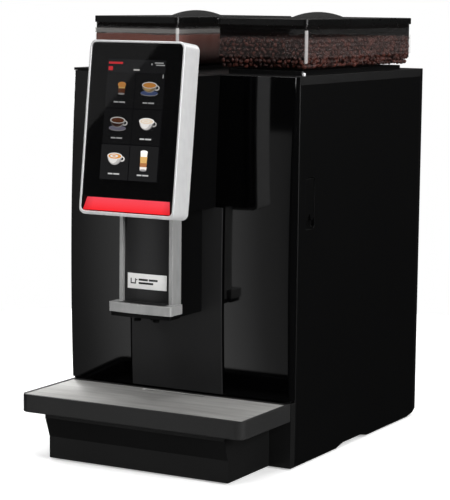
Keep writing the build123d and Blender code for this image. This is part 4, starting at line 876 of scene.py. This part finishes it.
# rows of ellipses: place from the drink's middle, half width, half height, tone
cup = {
    "saucer": ((0.0, -0.0062, 0.0128, 0.0034, "shade"), (0.0, -0.0057, 0.0128, 0.0030, "saucer")),
    "handle": ((0.0106, 0.0008, 0.0044, 0.0036, "shade"), (0.0106, 0.0010, 0.0040, 0.0032, "white"),
               (0.0104, 0.0010, 0.0026, 0.0020, "tile")),
    # the bowl's: shift in X, half width, how much shallower it is, tone
    "bowl": ((0.0, 0.0108, 0.0, "shade"), (-0.0008, 0.0098, 0.0008, "body"),
             (-0.0022, 0.0070, 0.0022, "lift")),
    "brim": 0.0040,
    "deep": 0.0112,
    "deepOnSaucer": 0.0092,
    "mouth": ((0.0, 0.0042, 0.0112, 0.0042, "white"), (0.0, 0.0040, 0.0096, 0.0032, "top")),
    "foam": ((-0.001, 0.0042, 0.0060, 0.0019, "foam"), (-0.001, 0.0042, 0.0028, 0.0009, "top")),
}
plainCup = {"body": (0.40, 0.385, 0.375), "lift": inkTones["white"]}
cupTones = {
    "americano": {"saucer": (0.06, 0.085, 0.19), "top": inkTones["crema"], "body": (0.24, 0.17, 0.09),
                  "lift": (0.45, 0.30, 0.13)},
    "black": {"saucer": (0.16, 0.15, 0.20), "top": inkTones["coffee"], "body": (0.06, 0.03, 0.025),
              "lift": (0.03, 0.012, 0.01)},
    "foam": {**plainCup, "top": inkTones["froth"], "foam": (0.62, 0.57, 0.50)},
    "art": {**plainCup, "top": inkTones["crema"], "foam": inkTones["white"]},
}
glass = {
    "half": 0.0052,
    "taper": 0.0006,
    "rim": (0.0052, 0.0017),
    "foot": (0.0050, 0.0013),
    "footDrop": 0.0004,
    "short": {"shift": (0.002, -0.001), "height": 0.013,
              "layers": ((0.5, "coffee"), (0.3, "amber"), (0.2, "crema"))},
    "shortTop": (0.0050, 0.0060, 0.0034),
    "tall": {"shift": (0.0, 0.0), "height": 0.023,
             "layers": ((0.16, "milk"), (0.22, "mocha"), (0.34, "amber"), (0.28, "cream"))},
}
drinks = (("short", "americano"), ("black", "foam"), ("art", "tall"))


class InkSheet:        # flat shapes in layers, each with its own colour
    def __init__(self):
        self.bm = bmesh.new()
        self.ink = self.bm.loops.layers.float_color.new("ink")
        self.level = 0

    def colour(self, faces, colour):
        for face in faces:
            for loop in face.loops:
                loop[self.ink] = (*colour, 1)

    def ellipse(self, centre, size, colour, cut=None, segments=28):
        self.level += 1
        lift = self.level * picture["layer"]
        place = Matrix.Translation((centre[0], centre[1], lift)) @ Matrix.Diagonal((*size, 1, 1))
        made = bmesh.ops.create_circle(self.bm, cap_ends=True, segments=segments, radius=1.0, matrix=place)
        verts = made["verts"]
        faces = list({face for vert in verts for face in vert.link_faces})
        if cut is not None:        # keep only what lies below the cut
            parts = verts + list({edge for vert in verts for edge in vert.link_edges}) + faces
            result = bmesh.ops.bisect_plane(
                self.bm, geom=parts, plane_co=(0, cut, 0), plane_no=(0, 1, 0), clear_outer=True)
            faces = [item for item in result["geom"] if isinstance(item, bmesh.types.BMFace)]
            faces = [face for face in faces if face.is_valid]
        self.colour(faces, colour)

    def panel(self, low, high, colour, taper=0.0):
        self.level += 1
        lift = self.level * picture["layer"]
        corners = ((low[0] + taper, low[1]), (high[0] - taper, low[1]), (high[0], high[1]), (low[0], high[1]))
        face = self.bm.faces.new([self.bm.verts.new((x, y, lift)) for x, y in corners])
        self.colour([face], colour)


def drawCup(sheet, x, y, kind):
    tones = {**inkTones, **cupTones[kind]}
    brim = y + cup["brim"]
    deep = cup["deepOnSaucer"] if "saucer" in tones else cup["deep"]

    def drawRows(key):
        for dx, dy, width, height, tone in cup[key]:
            sheet.ellipse((x + dx, y + dy), (width, height), tones[tone])

    if "saucer" in tones:
        drawRows("saucer")
    drawRows("handle")
    for dx, width, inset, tone in cup["bowl"]:
        sheet.ellipse((x + dx, brim), (width, deep - inset), tones[tone], cut=brim)
    drawRows("mouth")
    if "foam" in tones:
        drawRows("foam")


def drawGlass(sheet, x, y, kind):
    half = glass["half"]
    x += glass[kind]["shift"][0]
    height = glass[kind]["height"]
    floor = y + glass[kind]["shift"][1] - height / 2
    level = floor
    for share, tone in glass[kind]["layers"]:
        top = level + share * height
        sheet.panel((x - half, level), (x + half, top), inkTones[tone], taper=glass["taper"])
        level = top
    sheet.ellipse((x, level), glass["rim"], inkTones["rim"])
    sheet.ellipse((x, floor - glass["footDrop"]), glass["foot"], inkTones["shade"])
    if kind == "short":
        rise, width, depth = glass["shortTop"]
        sheet.ellipse((x, y + glass[kind]["shift"][1] + rise), (width, depth), inkTones["crema"])


def buildDisplayPicture(place):
    sheet = InkSheet()
    low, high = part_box("display_panel")
    height = place["height"]
    half = (high[0] - low[0]) / 2 - picture["margin"]
    headerLow = height * (1 - picture["header"])
    caption = inkTones["caption"]

    def drawStroke(side, start, end, top, bottom, tone):
        edge = side * half
        sheet.panel((edge + start, height - bottom), (edge + end, height - top), inkTones[tone])

    sheet.panel((-half, headerLow), (half, height - picture["margin"]), inkTones["header"])
    for stroke in picture["strokes"]:
        drawStroke(*stroke)
    fromEdge, fromTop, width, depth = picture["dot"]
    sheet.ellipse((half - fromEdge, height - fromTop), (width, depth), caption)
    drawStroke(*picture["title"])
    gap = picture["gap"]
    tileHeight = headerLow / picture["rows"]
    for row, pair in enumerate(drinks):
        top = headerLow - row * tileHeight
        floor = top - tileHeight
        for (left, right), kind in zip(((-half, -gap), (gap, half)), pair):
            sheet.panel((left, floor + gap), (right, top - gap), inkTones["tile"])
            x = (left + right) / 2
            y = top - tileHeight * picture["drinkDrop"]
            if kind in cupTones:
                drawCup(sheet, x, y, kind)
            else:
                drawGlass(sheet, x, y, kind)
            foot, head = floor + picture["captionLow"], floor + picture["captionHigh"]
            for start, end in picture["captionRuns"]:        # the caption, as plain strokes
                sheet.panel((x + start, foot), (x + end, head), caption)
    outer, inner, bottom, top = picture["scroll"]
    sheet.panel((half - outer, headerLow - bottom), (half - inner, headerLow - top), caption)
    bmesh.ops.transform(sheet.bm, matrix=displayMatrix(place), verts=sheet.bm.verts)
    return addPiece("displayPicture", sheet.bm, displayInk, "front_door")


buildDisplayPicture(displayPlace)
print("display picture drawn")

labelMark = {
    "fromLeft": 0.009,        # the cup's middle
    "across": 0.0042,        # its half width
    "stroke": 0.0015,
    "base": -0.0036,
    "walls": (-0.0026, 0.0034),
    "handle": (0.0005, 0.0022, 0.0010),
    # three strokes: start, length, foot
    "lines": ((0.0085, 0.014, 0.0009), (0.0240, 0.013, 0.0009), (0.0085, 0.022, -0.0036)),
    "lineHeight": 0.0026,
    "raised": 0.00012,
    "bow": 0.0014,        # the plate's ends stand this far behind its middle
}


def buildLabelMark(mark):        # a plain cup and three strokes
    low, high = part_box("label_plate")
    middle = (low[2] + high[2]) / 2
    half, stroke = mark["across"], mark["stroke"]
    left = low[0] + mark["fromLeft"]
    bm = bmesh.new()

    def bar(x0, x1, z0, z1):
        made = bmesh.ops.create_grid(bm, x_segments=6, y_segments=1, size=0.5)["verts"]
        for vert in made:
            x = (x0 + x1) / 2 + vert.co.x * (x1 - x0)
            z = (z0 + z1) / 2 + vert.co.y * (z1 - z0)
            vert.co = (x, 0, middle + z)

    foot, brim = mark["walls"]
    start, end, rise = mark["handle"]
    bar(left - half, left + half, mark["base"], mark["base"] + stroke)
    bar(left - half, left - half + stroke, foot, brim)
    bar(left + half - stroke, left + half, foot, brim)
    bar(left + half + start, left + half + end, rise, rise + stroke)
    for start, length, foot in mark["lines"]:
        bar(left + start, left + start + length, foot, foot + mark["lineHeight"])
    reach = (high[0] - low[0]) / 2
    for vert in bm.verts:        # the plate's face is a shallow arc
        vert.co.y = low[1] - mark["raised"] + mark["bow"] * (vert.co.x / reach) ** 2
    bmesh.ops.recalc_face_normals(bm, faces=bm.faces)
    return addPiece("labelMark", bm, markInk, "spout")


basePin = {
    "radius": 0.0024,
    "height": 0.0050,
    "sunk": 0.0010,
    "rounding": 0.0008,
    "inX": 0.003,        # from the hopper's right side
    "outY": 0.002,        # in front of its front
}


def buildBasePin(pin):        # the small bright pin under the right hopper's front corner
    low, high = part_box("hopper_right")
    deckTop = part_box("top_deck")[1][2]
    bm = bmesh.new()
    bmesh.ops.create_cone(
        bm, cap_ends=True, segments=24, radius1=pin["radius"], radius2=pin["radius"], depth=pin["height"])
    rims = [edge for edge in bm.edges if len(edge.link_faces) == 2 and edge.calc_face_angle() > 1]
    bmesh.ops.bevel(
        bm, geom=rims, offset=pin["rounding"], affect="EDGES", segments=3, profile=0.5, material=-1)
    spot = (high[0] - pin["inX"], low[1] - pin["outY"], deckTop + pin["height"] / 2 - pin["sunk"])
    bmesh.ops.translate(bm, vec=spot, verts=bm.verts)
    bmesh.ops.recalc_face_normals(bm, faces=bm.faces)
    return addPiece("basePin", bm, silverCast, "cabinet", smooth=True)


hopperShape = {
    "wall": 0.0029,        # wall and a little air
    "taper": 0.007,        # how far the walls draw in at the bottom
    "shoulder": 0.011,        # over this height
}
beanHeap = {
    "length": 0.0088,
    "width": 0.0076,
    "thick": 0.0064,
    "flatShare": 0.55,        # the flat side's share of the round side's depth
    "seam": (0.0012, 0.0011),        # depth and half width
    "pitch": 0.0066,
    "rowShare": 0.78,        # height of a row, as a share of the pitch
    "firstRow": 0.0036,
    "inset": 0.0026,        # bean centres stand this far inside the wall
    "topInset": 0.0036,
    "topSink": 0.004,
    "waves": 0.0022,        # how far the heap's top rises and dips
    "waveScale": 45,
    "waveSlice": 3.1,
    "proud": 0.001,        # a wall bean further over the top than this is left out
    "wallSlip": 0.25,        # random shifts, as shares of the pitch
    "topSlip": 0.3,
    "rowSlip": 0.0012,
    "lean": 0.8,
    "sizes": (0.86, 1.08),
    "toneBend": 1.4,
    "seed": 7,
}


def beanShape(heap):
    bm = bmesh.new()
    bmesh.ops.create_uvsphere(bm, u_segments=8, v_segments=5, radius=0.5)
    bmesh.ops.scale(bm, vec=(heap["width"], heap["length"], heap["thick"]), verts=bm.verts)
    depth, width = heap["seam"]
    for vert in bm.verts:        # flatten one side and press the seam into it
        if vert.co.z > 0:
            vert.co.z *= heap["flatShare"]
            vert.co.z -= depth * math.exp(-(vert.co.x / width) ** 2)
    return bm


def hopperInside(z, low, high):
    rise = low[2] + hopperShape["shoulder"] - z
    pull = hopperShape["wall"] + max(0.0, hopperShape["taper"] * rise / hopperShape["shoulder"])
    return low[0] + pull, high[0] - pull, low[1] + pull, high[1] - pull


def limit(value, low, high):
    return min(max(value, low), high)


def beanSpots(heap, rng, topAt):
    low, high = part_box("hopper_right")
    fillLow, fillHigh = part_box("bean_fill")
    pitch, inset = heap["pitch"], heap["inset"]
    rowHeight = pitch * heap["rowShare"]
    spots = []
    for row in range(int((fillHigh[2] - fillLow[2]) / rowHeight)):        # beans against the four walls
        z = fillLow[2] + heap["firstRow"] + row * rowHeight
        x0, x1, y0, y1 = hopperInside(z, low, high)
        x0, x1, y0, y1 = x0 + inset, x1 - inset, y0 + inset, y1 - inset
        corners = [Vector(corner) for corner in ((x0, y0), (x1, y0), (x1, y1), (x0, y1))]
        for start, end in zip(corners, corners[1:] + corners[:1]):
            count = int((end - start).length / pitch)
            for step in range(count):
                share = (step + 0.5 * (row % 2) + rng.uniform(-heap["wallSlip"], heap["wallSlip"])) / count
                spot = start.lerp(end, limit(share, 0, 1))
                spots.append((spot.x, spot.y, z + rng.uniform(-heap["rowSlip"], heap["rowSlip"])))
    x0, x1, y0, y1 = hopperInside(fillHigh[2], low, high)
    edge, slip = heap["topInset"], heap["topSlip"]
    for column in range(int((x1 - x0) / pitch)):        # and the heap's top
        for step in range(int((y1 - y0) / pitch)):
            x = x0 + (column + 0.5 + rng.uniform(-slip, slip)) * pitch
            y = y0 + (step + 0.5 + rng.uniform(-slip, slip)) * pitch
            spots.append((limit(x, x0 + edge, x1 - edge), limit(y, y0 + edge, y1 - edge), topAt(x, y)))
    return spots


def buildBeans(heap):
    rng = random.Random(heap["seed"])
    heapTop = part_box("bean_fill")[1][2] - heap["topSink"]
    template = bpy.data.meshes.new("beanTemplate")
    shape = beanShape(heap)
    shape.to_mesh(template)
    shape.free()

    def topAt(x, y):
        wave = noise.noise(Vector((x * heap["waveScale"], y * heap["waveScale"], heap["waveSlice"])))
        return heapTop + heap["waves"] * wave

    joined = bmesh.new()
    toneLayer = joined.loops.layers.float_color.new("tone")
    for x, y, z in beanSpots(heap, rng, topAt):
        if z > topAt(x, y) + heap["proud"]:
            continue
        turn = Matrix.Rotation(rng.uniform(0, math.tau), 4, "Z")
        turn = turn @ Matrix.Rotation(rng.gauss(0, heap["lean"]), 4, "X")
        turn = turn @ Matrix.Rotation(rng.uniform(0, math.tau), 4, "Y")
        place = Matrix.Translation((x, y, z)) @ turn @ Matrix.Scale(rng.uniform(*heap["sizes"]), 4)
        tone = rng.random() ** heap["toneBend"]
        moved = template.copy()
        moved.transform(place)
        first = len(joined.faces)
        joined.from_mesh(moved)
        bpy.data.meshes.remove(moved)
        joined.faces.ensure_lookup_table()
        for index in range(first, len(joined.faces)):
            for loop in joined.faces[index].loops:
                loop[toneLayer] = (tone, tone, tone, 1)
    bpy.data.meshes.remove(template)
    piece = addPiece("coffeeBeans", joined, roastedBean, "cabinet", smooth=True)
    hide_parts("bean_fill")
    return piece


beanCore = {
    "name": "beanCore", "hopper": "hopper_right", "fill": "bean_fill", "slot": "beans",
    "sink": 0.0045,        # from the hopper's inner faces
    "drop": 0.0075,        # from the fill's top
    "waves": 0.001,
    "cells": (30, 70),
}
powderHeap = {
    "name": "powderHeap", "hopper": "hopper_left", "fill": "powder_fill", "slot": "powder",
    "sink": 0.0002,
    "drop": 0.0018,
    "waves": 0.0016,
    "cells": (40, 100),
}
# both heaps: scale and level of each noise, share of the ripple, and the gap under the heap
heapWaves = {"swell": (38, 1.7), "ripple": (110, 0.3), "rippleShare": 0.5, "clearance": 0.0002}


def heapTopWave(x, y, height):
    swell, ripple = (
        noise.noise(Vector((x * scale, y * scale, level)))
        for scale, level in (heapWaves["swell"], heapWaves["ripple"]))
    return height * (swell + heapWaves["rippleShare"] * ripple)


def buildHeap(heap, finish):        # a waved top, straight walls, and a narrower foot in the hopper's taper
    low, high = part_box(heap["hopper"])
    fillLow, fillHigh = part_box(heap["fill"])
    sink = heap["sink"]
    top = fillHigh[2] - heap["drop"]
    bm = bmesh.new()
    bmesh.ops.create_grid(bm, x_segments=heap["cells"][0], y_segments=heap["cells"][1], size=0.5)
    rim = [edge for edge in bm.edges if edge.is_boundary]
    x0, x1, y0, y1 = hopperInside(top, low, high)
    middle = Vector(((x0 + x1) / 2, (y0 + y1) / 2))
    width, length = x1 - x0 - 2 * sink, y1 - y0 - 2 * sink
    for vert in bm.verts:
        x = x0 + sink + (vert.co.x + 0.5) * width
        y = y0 + sink + (vert.co.y + 0.5) * length
        vert.co = (x, y, top + heapTopWave(x, y, heap["waves"]))
    for level in (low[2] + hopperShape["shoulder"], fillLow[2] + heapWaves["clearance"]):
        made = bmesh.ops.extrude_edge_only(bm, edges=rim)["geom"]
        x0, x1, y0, y1 = hopperInside(level, low, high)
        shrinkX = (x1 - x0 - 2 * sink) / width
        shrinkY = (y1 - y0 - 2 * sink) / length
        for vert in (item for item in made if isinstance(item, bmesh.types.BMVert)):
            vert.co.x = middle.x + (vert.co.x - middle.x) * shrinkX
            vert.co.y = middle.y + (vert.co.y - middle.y) * shrinkY
            vert.co.z = level
        rim = [item for item in made if isinstance(item, bmesh.types.BMEdge)]
    bmesh.ops.contextual_create(bm, geom=rim)
    bmesh.ops.recalc_face_normals(bm, faces=bm.faces)
    return addPiece(heap["name"], bm, finish, "cabinet", smooth=True)


buildLabelMark(labelMark)
buildBasePin(basePin)
buildBeans(beanHeap)
buildHeap(beanCore, roastedBean)
powder = buildHeap(powderHeap, cocoaPowder)
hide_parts("powder_fill")
print("hoppers filled")
